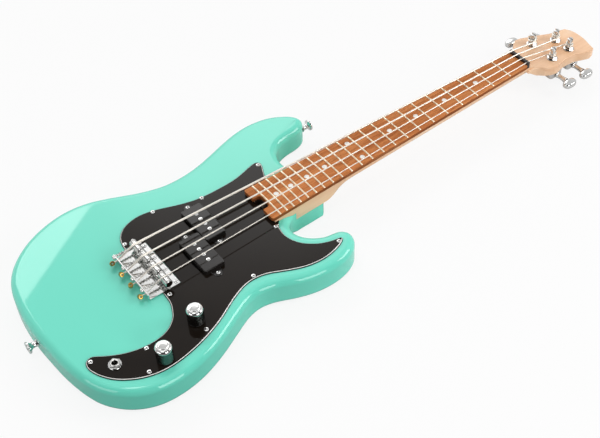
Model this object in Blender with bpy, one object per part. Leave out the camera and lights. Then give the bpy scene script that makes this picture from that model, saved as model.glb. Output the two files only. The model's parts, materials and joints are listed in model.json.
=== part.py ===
"""Solid-body bass ukulele, lying on its back.

Metres, +Z up. The origin is on the back of the body, under the saddle line and on the centre
line of the strings. +X runs towards the headstock and +Y towards the bass side.
"""

import math

import bmesh
import bpy
from mathutils import Vector

MM = 0.001
# How far a cutter runs past the face that it opens
OVERCUT = 0.01
SHARP_ANGLE = math.radians(32)
# How many sides round pieces get, from the largest to the smallest
LARGE_SIDES = 24
BORE_SIDES = 20
KNOB_SIDES = 18
BARREL_SIDES = 16
TUNER_SIDES = 14
SCREW_SIDES = 12
POLE_SIDES = 10
LEG_SIDES = 8
HEX_SIDES = 6

# Scale and heights
SCALE_LENGTH = 0.546
FRET_COUNT = 22
FIT_GAP = 0.0003
RUNNING_GAP = 0.0001
BODY_THICKNESS = 0.037
FRET_PLANE_RISE = 0.011
FRET_HEIGHT = 0.001
FRET_WIDTH = 0.0022
FRET_END_BEVEL = 0.0009
FRET_CROWN_SHARE = 0.27
FRETBOARD_THICKNESS = 0.0058
FRETBOARD_RADIUS = 0.305
CAMBER_SPANS = 4
FRETBOARD_OVERHANG = 0.0115
FRETBOARD_CORNER = 0.003

# Body
BODY_ROUND = 0.009
HEEL_ROUND = 0.003
FACE_ROUND_STEPS = 3
BACK_ROUND_STEPS = 2
NECK_BLOCK_END = 0.2165
BODY_END_CHAMFER = 0.003
POINTS_NEAR_NECK = 3
CAVITY_FLOOR = 0.007
PICKUP_CAVITY_MARGIN = 0.0012
WIRE_CHANNEL_WIDTH = 0.012
WIRE_CHANNEL_DEPTH = 0.014
WIRE_CHANNEL_OVERLAP = 0.004

# Neck and headstock
NUT_HALF_WIDTH = 0.017
BODY_END_HALF_WIDTH = 0.0285
HEEL_START = 0.1446
HEEL_DEPTH = 0.0185
SHAFT_DEPTH = 0.0148
SHAFT_DEPTH_AT_NUT = 0.0138
HEEL_FLAT_END = 0.2185
HEEL_CURVE_END = 0.2585
HEADSTOCK_THICKNESS = 0.0135
HEADSTOCK_STEP = 0.003
HEADSTOCK_BEVEL = 0.0012
SHAFT_FULLNESS = 2.3
NECK_SIDES = 16
# Distance past the nut, share of the step down on top, share of the way to the headstock's back
HEADSTOCK_SCOOP = ((0.003, 0.45, 0.25), (0.006, 0.80, 0.60), (0.010, 1.02, 1.0), (0.018, 1.25, 0.9))
NUT_THICKNESS = 0.0046
NUT_CREST = 0.0006
NUT_SIDE_INSET = 0.0004
NUT_CHAMFER = 0.0006
NUT_LEDGE = 0.0008
TRUSS_ROD_WIDTH = 0.0054
TRUSS_ROD_HEIGHT = 0.008
TRUSS_ROD_SINK = 0.0005
TRUSS_ROD_SETBACK = 0.008
TRUSS_NUT_RADIUS = 0.004
TRUSS_NUT_LENGTH = 0.009
TRUSS_NUT_INSET = 0.0012
TRUSS_NUT_CHAMFER = 0.0006
TRUSS_SEAT_SLACK = 0.0015
TRUSS_NOTCH_HALF_WIDTH = 0.0105
TRUSS_NOTCH_CORNER = 0.005
TRUSS_NOTCH_CORNER_STEPS = 4
HEX_SOCKET_RADIUS = 0.0023
HEX_SOCKET_DEPTH = 0.005

# Neck plate and its screws
PLATE_LENGTH = 0.056
PLATE_WIDTH = 0.046
PLATE_THICKNESS = 0.002
PLATE_CENTRE_X = 0.176
PLATE_CORNER = 0.004
NECK_SCREW_INSET = 0.0075
NECK_SCREW_RADIUS = 0.002
NECK_SCREW_HEAD_RADIUS = 0.0037
NECK_SCREW_HEAD_DEPTH = 0.0017
NECK_SCREW_REACH = 0.0115
NECK_SCREW_POINT = 0.002
NECK_SCREW_POINT_SHARE = 0.3

# Pickguard
PICKGUARD_THICKNESS = 0.0018
PICKGUARD_BEVEL = 0.0009

# Strings, from the lowest to the highest
STRING_NAMES = ("e", "a", "d", "g")
STRING_RADII = (0.00133, 0.00108, 0.00083, 0.00058)
STRING_PITCH_AT_SADDLE = 0.01937
STRING_PITCH_AT_NUT = 0.00923
STRING_RISE_AT_SADDLE = 0.0043
STRING_RISE_AT_NUT = 0.0006
STRING_SIDES = 6
STEPS_PER_TURN = 9
BALL_RADIUS = 0.0028
BALL_LENGTH = 0.005
BALL_STANDOFF = 0.0027
BALL_EDGE = 0.0004
# Bends behind the flange and before the saddle's crest: distance ahead and rise
STRING_EXIT_BEND = ((0.0002, 0.0001), (0.0016, 0.0008))
STRING_CREST_BEND = ((-0.0018, -0.0006), (-0.0009, -0.0002), (0, 0))
STRING_STRAIGHT_START = 0.01
STRING_PAST_NUT = 0.002
STRING_DIP_PAST_NUT = 0.0003

# Bridge
BRIDGE_WIDTH = 0.072
BRIDGE_REAR = 0.0263
BRIDGE_FRONT = 0.014
BRIDGE_SHEET = 0.0018
FLANGE_HEIGHT = 0.0100
FLANGE_BEND = 0.0012
STRING_HOLE_HEIGHT = 0.0057
SADDLE_RADIUS = 0.0045
SADDLE_LENGTH = 0.0176
SADDLE_LEG_OFFSET = 0.0072
SADDLE_LEG_RADIUS = 0.0014
SADDLE_BACK_TRAVEL = 0.002
SADDLE_CHAMFER = 0.0006
STRING_BEND_CLEARANCE = 0.0014
INTONATION_OFFSET = 0.0044
INTONATION_HEIGHT = 0.0081
INTONATION_RADIUS = 0.00125
INTONATION_TIP = 0.008
INTONATION_HEAD_RADIUS = 0.0024
INTONATION_HEAD_LENGTH = 0.0018
INTONATION_HEAD_CHAMFER = 0.0005
SPRING_RADIUS = 0.002
SPRING_WIRE = 0.00035
SPRING_TURNS = 4

# Pickups
PICKUP_LENGTH = 0.054
PICKUP_WIDTH = 0.0258
PICKUP_HEIGHT = 0.020
PICKUP_RISE = 0.008
PICKUP_CORNER = 0.0025
PICKUP_EDGE = 0.0006
PICKUP_EAR_FOOT_SHARE = 1.35
PICKUP_EAR_START = math.radians(20)
PICKUP_EAR_REACH = 0.032
PICKUP_EAR_RADIUS = 0.0048
PICKUP_EAR_THICKNESS = 0.0022
PICKUP_EAR_RISE = 0.0027
POLE_RADIUS = 0.0024
POLE_PROUD = 0.0005
POLE_SINK = 0.002
POLE_PITCH = 0.0092
BASS_PICKUP_X = 0.0792
TREBLE_PICKUP_X = 0.0530
PICKUP_OFFSET_Y = 0.0182

# Controls
KNOB_RADIUS = 0.00915
KNOB_HEIGHT = 0.0215
KNOB_CHAMFER = 0.0022
KNOB_FOOT_CHAMFER = 0.0004
KNOB_CROWN_SHARE = 0.4
KNOB_CLEARANCE = 0.001
KNOB_RECESS_RADIUS = 0.0066
KNOB_RECESS_DEPTH = 0.0075
VOLUME_PLACE = (-0.0012, -0.0897)
TONE_PLACE = (-0.0523, -0.1105)
POT_RADIUS = 0.0075
POT_HEIGHT = 0.009
POT_FLOOR = 0.002
POT_BUSHING_RADIUS = 0.0043
POT_BUSHING_RISE = 0.005
POT_SHAFT_RADIUS = 0.003
POT_SHAFT_RISE = 0.018
JACK_PLACE = (-0.0964, -0.0852)
JACK_BORE_RADIUS = 0.00325
JACK_BUSHING_RADIUS = 0.0047
JACK_BARREL_RADIUS = 0.0068
JACK_BARREL_LENGTH = 0.0262
JACK_BUSHING_RISE = 0.0036
JACK_FLOOR = 0.0015
JACK_NUT_CHAMFER = 0.0005
JACK_NUT_RADIUS = 0.00715
JACK_NUT_HEIGHT = 0.0026

# Tuners: each place is measured from the nut's face on the headstock's side
POST_PLACES = ((0.0384, 0.0177), (0.0674, 0.0045), (0.0684, -0.0185), (0.0384, -0.0187))
KEY_SIDES = (1, 1, -1, -1)
POST_RADIUS = 0.0031
POST_WAIST = 0.003
POST_CROWN = 0.0036
POST_RISE = 0.0165
POST_SLOT_WIDTH = 0.0018
POST_SLOT_DEPTH = 0.003
POST_FLARE = 0.0008
POST_CHAMFER = 0.0005
BUSHING_RADIUS = 0.0046
BUSHING_REACH = 0.008
WASHER_RADIUS = 0.0069
WASHER_THICKNESS = 0.0009
WASHER_CHAMFER = 0.0005
HEX_NUT_RADIUS = 0.0055
HEX_NUT_HEIGHT = 0.0026
HOUSING_LENGTH = 0.0205
HOUSING_INNER = 0.0095
HOUSING_OUTER = 0.012
HOUSING_HEIGHT = 0.011
HOUSING_CORNER = 0.004
HOUSING_ROUND = 0.003
HOUSING_FLOOR = 0.0025
KEY_DROP = 0.0055
KEY_SHAFT_RADIUS = 0.0022
KEY_COLLAR_RADIUS = 0.0037
KEY_NECK_RADIUS = 0.003
KEY_INNER_END = 0.0045
KEY_COLLAR_LENGTH = 0.0015
KEY_FLARE = 0.0007
KEY_NECK_FLARE = 0.003
BUTTON_SINK = 0.00038
KEY_REACH = 0.034
BUTTON_WIDTH = 0.020
BUTTON_LENGTH = 0.0135
BUTTON_THICKNESS = 0.0075
BUTTON_POINTS = 12
# Share of the full outline and share of the thickness, from one face to the other
BUTTON_LEVELS = ((0.72, -0.5), (0.96, -0.3), (0.96, 0.3), (0.72, 0.5))
BUTTON_END_FULLNESS = 0.8
BUTTON_SIDE_FULLNESS = 0.9
BUTTON_DISH = 0.12
WRAP_CLEARANCE = 0.0007
WRAP_TURNS = (1.6, 1.9, 2.2, 2.6)

# Strap buttons: place of the seat and the height on the body's side
STRAP_LENGTH = 0.012
STRAP_RIM_RADIUS = 0.007
STRAP_NECK_RADIUS = 0.0032
STRAP_BASE_RADIUS = 0.0042
STRAP_WAIST_START = 0.003
STRAP_WAIST_END = 0.007
STRAP_RIM_THICKNESS = 0.0022
STRAP_RIM_CHAMFER = 0.0007
STRAP_TAIL_Y = 0.004
STRAP_HORN_Y = 0.0925

# Heights worked out from the sizes above
FACE = BODY_THICKNESS
FRET_PLANE = FACE + FRET_PLANE_RISE
BOARD_TOP = FRET_PLANE - FRET_HEIGHT
BOARD_BOTTOM = BOARD_TOP - FRETBOARD_THICKNESS
NECK_TOP = BOARD_BOTTOM - FIT_GAP
HEEL_BOTTOM = NECK_TOP - HEEL_DEPTH
POCKET_FLOOR = HEEL_BOTTOM - FIT_GAP
HEADSTOCK_TOP = NECK_TOP - HEADSTOCK_STEP
HEADSTOCK_BACK = HEADSTOCK_TOP - HEADSTOCK_THICKNESS
GUARD_BOTTOM = FACE + FIT_GAP
GUARD_TOP = GUARD_BOTTOM + PICKGUARD_THICKNESS
SHEET_BOTTOM = FACE + FIT_GAP
SHEET_TOP = SHEET_BOTTOM + BRIDGE_SHEET
SADDLE_SEAT = FRET_PLANE + STRING_RISE_AT_SADDLE
BOARD_END = SCALE_LENGTH * 2 ** (-FRET_COUNT / 12) - FRETBOARD_OVERHANG

# Colours: base colour, roughness, metallic
SEAFOAM = ((0.22, 0.74, 0.60), 0.12, 0.0)
PLY_BLACK = ((0.028, 0.024, 0.022), 0.28, 0.0)
MAPLE = ((0.72, 0.50, 0.30), 0.35, 0.0)
ROSEWOOD = ((0.27, 0.10, 0.05), 0.50, 0.0)
NUT_BLACK = ((0.02, 0.018, 0.018), 0.35, 0.0)
CHROME = ((0.78, 0.78, 0.80), 0.10, 1.0)
STEEL = ((0.55, 0.55, 0.56), 0.30, 1.0)
COVER_BLACK = ((0.030, 0.029, 0.027), 0.45, 0.0)

# The body's outline, in millimetres, from the bass side of the neck round to the treble side
BODY_POINTS = (
    (209, 29), (209, 42), (209.5, 53), (214, 64.5), (223.5, 72.5), (238, 76.8), (252.5, 78.2),
    (264.3, 82), (272, 92.5), (268.2, 104), (257.5, 113.5), (240, 122.6), (214, 126.7),
    (187, 123.5), (159, 115.5), (130, 107), (103, 103), (77, 104.2), (50, 112.5), (24.5, 124),
    (-2.5, 134.5), (-30, 138.4), (-58, 134.8), (-87, 124), (-112, 106.5), (-129, 84.5),
    (-138, 55), (-141.8, 18), (-140.2, -22), (-136, -58.5), (-125, -95), (-104, -120.3),
    (-78, -133.6), (-50, -136.5), (-20.5, -132.2), (8.5, -122), (36, -108.9), (58, -98.9),
    (76, -95.9), (93, -99.5), (109.5, -106.8), (128, -113.6), (148, -117.4), (170, -117),
    (189.5, -110.8), (201.5, -99), (203, -87), (194.5, -78.5), (178, -75), (165, -67),
    (157, -56.5), (155, -46), (158.5, -36.8), (166, -30.6), (176, -27.6), (194, -27.1),
)
# The pickguard's two edges, in millimetres: bridge to neck on the bass side, and neck to
# bridge on the treble side
GUARD_BASS_POINTS = (
    (-8.8, 46), (-6.5, 56), (0, 66), (12, 73.3), (30, 76.2), (50, 72.2), (72, 63.8), (95, 57.2),
    (122, 55.3), (148, 56.3), (168, 61), (180, 63.6), (185.5, 61.3), (186, 55.5), (180.5, 43),
)
GUARD_TREBLE_POINTS = (
    (144.5, -36), (142.3, -48), (144.5, -60), (152, -72.5), (165, -83), (178, -88.3),
    (188, -90.6), (189.5, -93.5), (184, -98), (170, -102.7), (152, -104.3), (132, -100.8),
    (112, -92.3), (95, -84), (80, -80.8), (64, -82.6), (44, -91), (20, -103.8), (-8, -114.5),
    (-38, -121), (-62, -121.5), (-84, -115.3), (-103, -103), (-115, -88), (-120.5, -73),
    (-118, -63.5), (-110, -61.2), (-100, -67.5), (-84, -76.5), (-65, -82.5), (-46, -83.6),
    (-30, -79.3), (-17.5, -68.5), (-10.5, -54),
)
GUARD_NECK_BASS_X = 0.1745
GUARD_NECK_TREBLE_X = 0.1495
GUARD_BRIDGE_X = -0.0086
# The hollow under the pickguard that holds the controls, in millimetres
CAVITY_POINTS = (
    (-110, -77), (-107, -70), (-98, -73), (-83, -81), (-64.5, -87), (-46, -88), (-28, -83),
    (-12, -72.5), (3, -70), (16, -76), (19, -90), (10, -101), (-9, -110.5), (-38, -118.8),
    (-61, -119), (-82, -112), (-99, -99.5), (-108, -88),
)
# The headstock's outline, in millimetres past the nut, from the treble side to the bass side
HEADSTOCK_POINTS = (
    (-2.6, -18.2), (11.4, -21.5), (19.1, -28.3), (26.9, -32.5), (35.4, -33.5), (45.4, -31),
    (56.4, -31), (67.4, -32), (78.4, -36.2), (87.4, -39), (93.9, -37.5), (95.9, -29), (98.9, -17),
    (99.7, -5), (97.9, 6.5), (93.9, 13.5), (85.4, 16), (73.4, 18.5), (59.4, 25), (45.4, 31),
    (34.4, 36), (27.4, 37), (20.4, 33), (13.4, 26.5), (5.4, 20.5), (-2.6, 18.2),
)


def material_of(name, finish):
    colour, roughness, metallic = finish
    material = bpy.data.materials.new(name)
    material.use_nodes = True
    shader = material.node_tree.nodes["Principled BSDF"]
    shader.inputs["Base Color"].default_value = (*colour, 1.0)
    shader.inputs["Roughness"].default_value = roughness
    shader.inputs["Metallic"].default_value = metallic
    return material


def object_from(name, bm, finish=None, origin=(0, 0, 0)):
    """A mesh object with its faces turned outwards and its origin at the given point."""
    bmesh.ops.recalc_face_normals(bm, faces=bm.faces)
    origin = Vector(origin)
    bmesh.ops.translate(bm, verts=bm.verts, vec=-origin)
    mesh = bpy.data.meshes.new(name)
    bm.to_mesh(mesh)
    bm.free()
    mesh.shade_smooth()
    mesh.set_sharp_from_angle(angle=SHARP_ANGLE)
    obj = bpy.data.objects.new(name, mesh)
    obj.location = origin
    bpy.context.scene.collection.objects.link(obj)
    if finish:
        mesh.materials.append(material_of(name, finish))
    return obj


def helper(obj):
    obj.hide_render = True
    obj.display_type = "WIRE"
    return obj


def combine(target, other, operation):
    modifier = target.modifiers.new(other.name, "BOOLEAN")
    modifier.operation = operation
    modifier.solver = "EXACT"
    modifier.object = helper(other)


def carve(target, *cutters):
    for cutter in cutters:
        combine(target, cutter, "DIFFERENCE")


def fuse(target, *others):
    for other in others:
        combine(target, other, "UNION")


def stack(name, rings, finish=None, origin=(0, 0, 0)):
    """A closed skin over rings of equally many points, with a cap on the first and the last."""
    bm = bmesh.new()
    rows = [[bm.verts.new(point) for point in ring] for ring in rings]
    count = len(rows[0])
    for low, high in zip(rows, rows[1:]):
        for i in range(count):
            j = (i + 1) % count
            bm.faces.new((low[i], low[j], high[j], high[i]))
    bm.faces.new(list(reversed(rows[0])))
    bm.faces.new(rows[-1])
    return object_from(name, bm, finish, origin)


def turned(name, profile, place, axis=(0, 0, 1), segments=LARGE_SIDES, finish=None, origin=None):
    """A solid turned about an axis through place. The profile gives radius and distance."""
    direction = Vector(axis).normalized()
    across = direction.orthogonal().normalized()
    up = direction.cross(across)
    place = Vector(place)
    bm = bmesh.new()
    rows = []
    for radius, distance in profile:
        centre = place + direction * distance
        if radius == 0:
            rows.append([bm.verts.new(centre)])
            continue
        row = []
        for i in range(segments):
            angle = 2 * math.pi * i / segments
            spoke = across * math.cos(angle) + up * math.sin(angle)
            row.append(bm.verts.new(centre + spoke * radius))
        rows.append(row)
    for low, high in zip(rows, rows[1:]):
        for i in range(segments):
            j = (i + 1) % segments
            if len(low) == 1:
                bm.faces.new((low[0], high[j], high[i]))
            elif len(high) == 1:
                bm.faces.new((low[i], low[j], high[0]))
            else:
                bm.faces.new((low[i], low[j], high[j], high[i]))
    for row, first in ((rows[0], True), (rows[-1], False)):
        if len(row) > 1:
            bm.faces.new(list(reversed(row)) if first else row)
    return object_from(name, bm, finish, place if origin is None else origin)


def cylinder(name, radius, start, end, segments=BARREL_SIDES, finish=None):
    start, end = Vector(start), Vector(end)
    length = (end - start).length
    return turned(name, ((radius, 0), (radius, length)), start, end - start, segments, finish)


def block(name, low, high, finish=None):
    (x0, y0, z0), (x1, y1, z1) = low, high
    ring = ((x0, y0), (x1, y0), (x1, y1), (x0, y1))
    rings = [[(x, y, z) for x, y in ring] for z in (z0, z1)]
    return stack(name, rings, finish)


def swept(name, points, radius, sides, finish=None):
    """A closed tube along a list of points."""
    points = [Vector(point) for point in points]
    rings = []
    side = None
    for i, point in enumerate(points):
        before = points[max(i - 1, 0)]
        after = points[min(i + 1, len(points) - 1)]
        along = (after - before).normalized()
        if side is None:
            side = along.orthogonal()
        side = (side - along * side.dot(along)).normalized()
        up = along.cross(side)
        ring = []
        for k in range(sides):
            angle = 2 * math.pi * (k + 0.5) / sides
            ring.append(point + (side * math.cos(angle) + up * math.sin(angle)) * radius)
        rings.append(ring)
    return stack(name, rings, finish)


def spline(points, steps, closed=False):
    """Points read from a Catmull-Rom curve through points in millimetres, in metres."""
    points = [Vector(point) * MM for point in points]
    count = len(points)
    found = []
    for i in range(count if closed else count - 1):
        if closed:
            a, b, c, d = (points[(i + k) % count] for k in (-1, 0, 1, 2))
        else:
            a, b, c, d = (points[min(max(i + k, 0), count - 1)] for k in (-1, 0, 1, 2))
        for step in range(steps):
            t = step / steps
            found.append(
                0.5 * (2 * b + (c - a) * t + (2 * a - 5 * b + 4 * c - d) * t * t
                       + (3 * b - a - 3 * c + d) * t ** 3)
            )
    if not closed:
        found.append(points[-1])
    return found


def inset(loop, distances):
    """The loop moved inwards, each point by its own distance."""
    count = len(loop)
    area = sum(loop[i - 1].cross(loop[i]) for i in range(count))
    turn = 1 if area > 0 else -1
    moved = []
    for i, point in enumerate(loop):
        before = (point - loop[i - 1]).normalized()
        after = (loop[(i + 1) % count] - point).normalized()
        along = (before + after).normalized()
        inward = Vector((-along.y, along.x)) * turn
        moved.append(point + inward * distances[i])
    return moved


def at_height(loop, height):
    return [(point.x, point.y, height) for point in loop]


def slab(name, loop, low, high, finish=None):
    return stack(name, [at_height(loop, low), at_height(loop, high)], finish)


def rounded_rectangle(centre, length, width, corner, steps=3):
    """A loop with round corners, length along X and width along Y."""
    loop = []
    for quarter in range(4):
        turn = math.pi / 2 * quarter
        sx, sy = ((1, 1), (-1, 1), (-1, -1), (1, -1))[quarter]
        corner_x = centre[0] + sx * (length / 2 - corner)
        corner_y = centre[1] + sy * (width / 2 - corner)
        for step in range(steps + 1):
            angle = turn + math.pi / 2 * step / steps
            loop.append(
                Vector((corner_x + corner * math.cos(angle), corner_y + corner * math.sin(angle)))
            )
    return loop


def neck_half_width(x):
    share = (SCALE_LENGTH - x) / (SCALE_LENGTH - BOARD_END)
    return NUT_HALF_WIDTH + (BODY_END_HALF_WIDTH - NUT_HALF_WIDTH) * share


def board_drop(y):
    """How far the cambered fretboard falls away at a distance from its centre line."""
    return FRETBOARD_RADIUS - math.sqrt(FRETBOARD_RADIUS ** 2 - y * y)


def string_at(index, x):
    """The centre of a string's straight run, at a distance from the saddle line."""
    share = x / SCALE_LENGTH
    lane = 1.5 - index
    pitch = STRING_PITCH_AT_SADDLE + (STRING_PITCH_AT_NUT - STRING_PITCH_AT_SADDLE) * share
    rise = STRING_RISE_AT_SADDLE + (STRING_RISE_AT_NUT - STRING_RISE_AT_SADDLE) * share
    return Vector((x, lane * pitch, FRET_PLANE + rise + STRING_RADII[index]))


def pickup_loop(x, y, margin):
    """The outline of a half pickup: a long cover with a round ear at each end."""
    half_x = PICKUP_WIDTH / 2 + margin
    half_y = PICKUP_LENGTH / 2 + margin
    ear = PICKUP_EAR_RADIUS + margin
    corner = PICKUP_CORNER + margin
    foot = ear * PICKUP_EAR_FOOT_SHARE
    steps = 3
    quarter = []
    for step in range(steps + 1):
        angle = math.pi / 2 * step / steps
        quarter.append((half_x - corner + corner * math.cos(angle),
                        half_y - corner + corner * math.sin(angle)))
    quarter.append((foot, half_y))
    for step in range(steps + 1):
        angle = PICKUP_EAR_START + (math.pi / 2 - PICKUP_EAR_START) * step / steps
        quarter.append((ear * math.cos(angle), PICKUP_EAR_REACH + ear * math.sin(angle)))
    right_top = quarter
    left_top = [(-px, py) for px, py in reversed(quarter[:-1])]
    top = right_top + left_top
    bottom = [(-px, -py) for px, py in top]
    return [Vector((x + px, y + py)) for px, py in top + bottom]


def pickup_block_loop(x, y, shrink=0.0):
    length = PICKUP_WIDTH - 2 * shrink
    width = PICKUP_LENGTH - 2 * shrink
    return rounded_rectangle((x, y), length, width, PICKUP_CORNER - shrink)


PICKUPS = {
    "bass": (BASS_PICKUP_X, PICKUP_OFFSET_Y),
    "treble": (TREBLE_PICKUP_X, -PICKUP_OFFSET_Y),
}


def body_loop():
    """The body's outline, with the square end of the neck block, and its edge radius."""
    loop = spline(BODY_POINTS, 2)
    rounds = [BODY_ROUND] * len(loop)
    for i in range(POINTS_NEAR_NECK):
        rounds[i] = HEEL_ROUND
        rounds[-1 - i] = HEEL_ROUND
    end_half = neck_half_width(NECK_BLOCK_END) + RUNNING_GAP
    chamfer = BODY_END_CHAMFER
    for x, y in ((NECK_BLOCK_END - chamfer, -end_half), (NECK_BLOCK_END, chamfer - end_half),
                 (NECK_BLOCK_END, end_half - chamfer), (NECK_BLOCK_END - chamfer, end_half)):
        loop.append(Vector((x, y)))
        rounds.append(HEEL_ROUND)
    return loop, rounds


def rounded_edge(loop, rounds, steps):
    """Rings that curve from a flat back out to the full outline."""
    rings = []
    for step in range(steps + 1):
        angle = math.pi / 2 * step / steps
        moved = inset(loop, [radius * (1 - math.sin(angle)) for radius in rounds])
        rings.append([(point.x, point.y, radius * (1 - math.cos(angle)))
                      for point, radius in zip(moved, rounds)])
    return rings


def neck_pocket():
    """The pocket's plan: the neck's own taper with a gap all round."""
    start = HEEL_START - FIT_GAP
    end = NECK_BLOCK_END + 2 * OVERCUT
    near = neck_half_width(start) + FIT_GAP
    far = neck_half_width(end) + FIT_GAP
    loop = [Vector(p) for p in ((start, -near), (end, -far), (end, far), (start, near))]
    return slab("pocket_cutter", loop, POCKET_FLOOR, FACE + OVERCUT)


def make_body():
    loop, rounds = body_loop()
    lower = rounded_edge(loop, rounds, BACK_ROUND_STEPS)
    upper = rounded_edge(loop, rounds, FACE_ROUND_STEPS)
    upper = [[(x, y, BODY_THICKNESS - z) for x, y, z in ring] for ring in reversed(upper)]
    body = stack("body", lower + upper, SEAFOAM)
    carve(body, neck_pocket())
    carve(body, slab("control_cutter", spline(CAVITY_POINTS, 2, closed=True), CAVITY_FLOOR,
                     FACE + OVERCUT))
    for side, (x, y) in PICKUPS.items():
        floor = FACE + PICKUP_RISE - PICKUP_HEIGHT - FIT_GAP
        plan = pickup_loop(x, y, PICKUP_CAVITY_MARGIN)
        carve(body, slab(f"{side}_pickup_cutter", plan, floor, FACE + OVERCUT))
    treble_x, treble_y = PICKUPS["treble"]
    corner = Vector((treble_x, treble_y - PICKUP_LENGTH / 2))
    channel_start = corner + Vector((-WIRE_CHANNEL_OVERLAP, WIRE_CHANNEL_OVERLAP))
    channel_end = Vector(VOLUME_PLACE) + Vector((3, 2)) * WIRE_CHANNEL_OVERLAP
    along = (channel_end - channel_start).normalized()
    across = Vector((-along.y, along.x)) * WIRE_CHANNEL_WIDTH / 2
    channel = [channel_start + across, channel_start - across, channel_end - across,
               channel_end + across]
    carve(body, slab("wire_channel_cutter", channel, FACE - WIRE_CHANNEL_DEPTH, FACE + OVERCUT))
    recess = rounded_rectangle((PLATE_CENTRE_X, 0), PLATE_LENGTH + 2 * FIT_GAP,
                               PLATE_WIDTH + 2 * FIT_GAP, PLATE_CORNER)
    carve(body, slab("plate_recess_cutter", recess, -OVERCUT, PLATE_THICKNESS + FIT_GAP))
    for number, (x, y) in enumerate(neck_screw_places(), 1):
        carve(body, cylinder(f"body_screw_cutter_{number}", NECK_SCREW_RADIUS + FIT_GAP,
                             (x, y, -OVERCUT), (x, y, POCKET_FLOOR + OVERCUT), SCREW_SIDES))
    return body


def truss_axis_height():
    return NECK_TOP - TRUSS_ROD_SINK - TRUSS_ROD_HEIGHT / 2


def truss_notch_cutter(name):
    """The opening at the neck's end through which the truss rod's nut is reached."""
    end = SCALE_LENGTH * 2 ** (-FRET_COUNT / 12) - FRET_WIDTH / 2 - FIT_GAP
    corner = TRUSS_NOTCH_CORNER
    straight = TRUSS_NOTCH_HALF_WIDTH - corner
    quarter = []
    for step in range(TRUSS_NOTCH_CORNER_STEPS + 1):
        angle = math.pi / 2 * step / TRUSS_NOTCH_CORNER_STEPS
        quarter.append((end - corner + corner * math.cos(angle), straight + corner * math.sin(angle)))
    quarter.append((BOARD_END - OVERCUT, TRUSS_NOTCH_HALF_WIDTH))
    loop = [Vector((x, -y)) for x, y in reversed(quarter)] + [Vector(point) for point in quarter]
    bottom = truss_axis_height() - TRUSS_NUT_RADIUS - FIT_GAP
    return slab(name, loop, bottom, BOARD_TOP + OVERCUT)


def neck_screw_places():
    reach_x = PLATE_LENGTH / 2 - NECK_SCREW_INSET
    reach_y = PLATE_WIDTH / 2 - NECK_SCREW_INSET
    return [(PLATE_CENTRE_X + sx * reach_x, sy * reach_y) for sx in (-1, 1) for sy in (-1, 1)]


def make_neck_plate():
    loop = rounded_rectangle((PLATE_CENTRE_X, 0), PLATE_LENGTH, PLATE_WIDTH, PLATE_CORNER)
    plate = slab("neck_plate", loop, 0, PLATE_THICKNESS, CHROME)
    hole = NECK_SCREW_RADIUS + FIT_GAP
    head = NECK_SCREW_HEAD_RADIUS + FIT_GAP
    profile = ((head, -OVERCUT), (head, 0), (hole, NECK_SCREW_HEAD_DEPTH),
               (hole, PLATE_THICKNESS + OVERCUT))
    for number, (x, y) in enumerate(neck_screw_places(), 1):
        carve(plate, turned(f"plate_screw_cutter_{number}", profile, (x, y, 0),
                            segments=SCREW_SIDES))
        screw = (
            (NECK_SCREW_HEAD_RADIUS, 0),
            (NECK_SCREW_RADIUS, NECK_SCREW_HEAD_DEPTH),
            (NECK_SCREW_RADIUS, HEEL_BOTTOM + NECK_SCREW_REACH - NECK_SCREW_POINT),
            (NECK_SCREW_RADIUS * NECK_SCREW_POINT_SHARE, HEEL_BOTTOM + NECK_SCREW_REACH),
        )
        turned(f"neck_screw_{number}", screw, (x, y, 0), segments=SCREW_SIDES, finish=STEEL)
    return plate


def neck_section(x, top, depth, half_width, roundness):
    """The neck's outline below its flat top: a box at the heel, rounding into the shaft."""
    power = 2 / SHAFT_FULLNESS
    ring = []
    for i in range(NECK_SIDES + 1):
        angle = math.pi * i / NECK_SIDES
        along = 2 - 4 * i / NECK_SIDES
        box = Vector((min(max(along, -1), 1), min(2 - abs(along), 1)))
        cosine = math.cos(angle)
        oval = Vector((math.copysign(abs(cosine) ** power, cosine), math.sin(angle) ** power))
        if i in (0, NECK_SIDES):
            oval.y = 0
        across, down = box.lerp(oval, roundness)
        ring.append((x, half_width * across, top - depth * down))
    return ring


def eased(share):
    share = min(max(share, 0.0), 1.0)
    return share * share * (3 - 2 * share)


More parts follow.
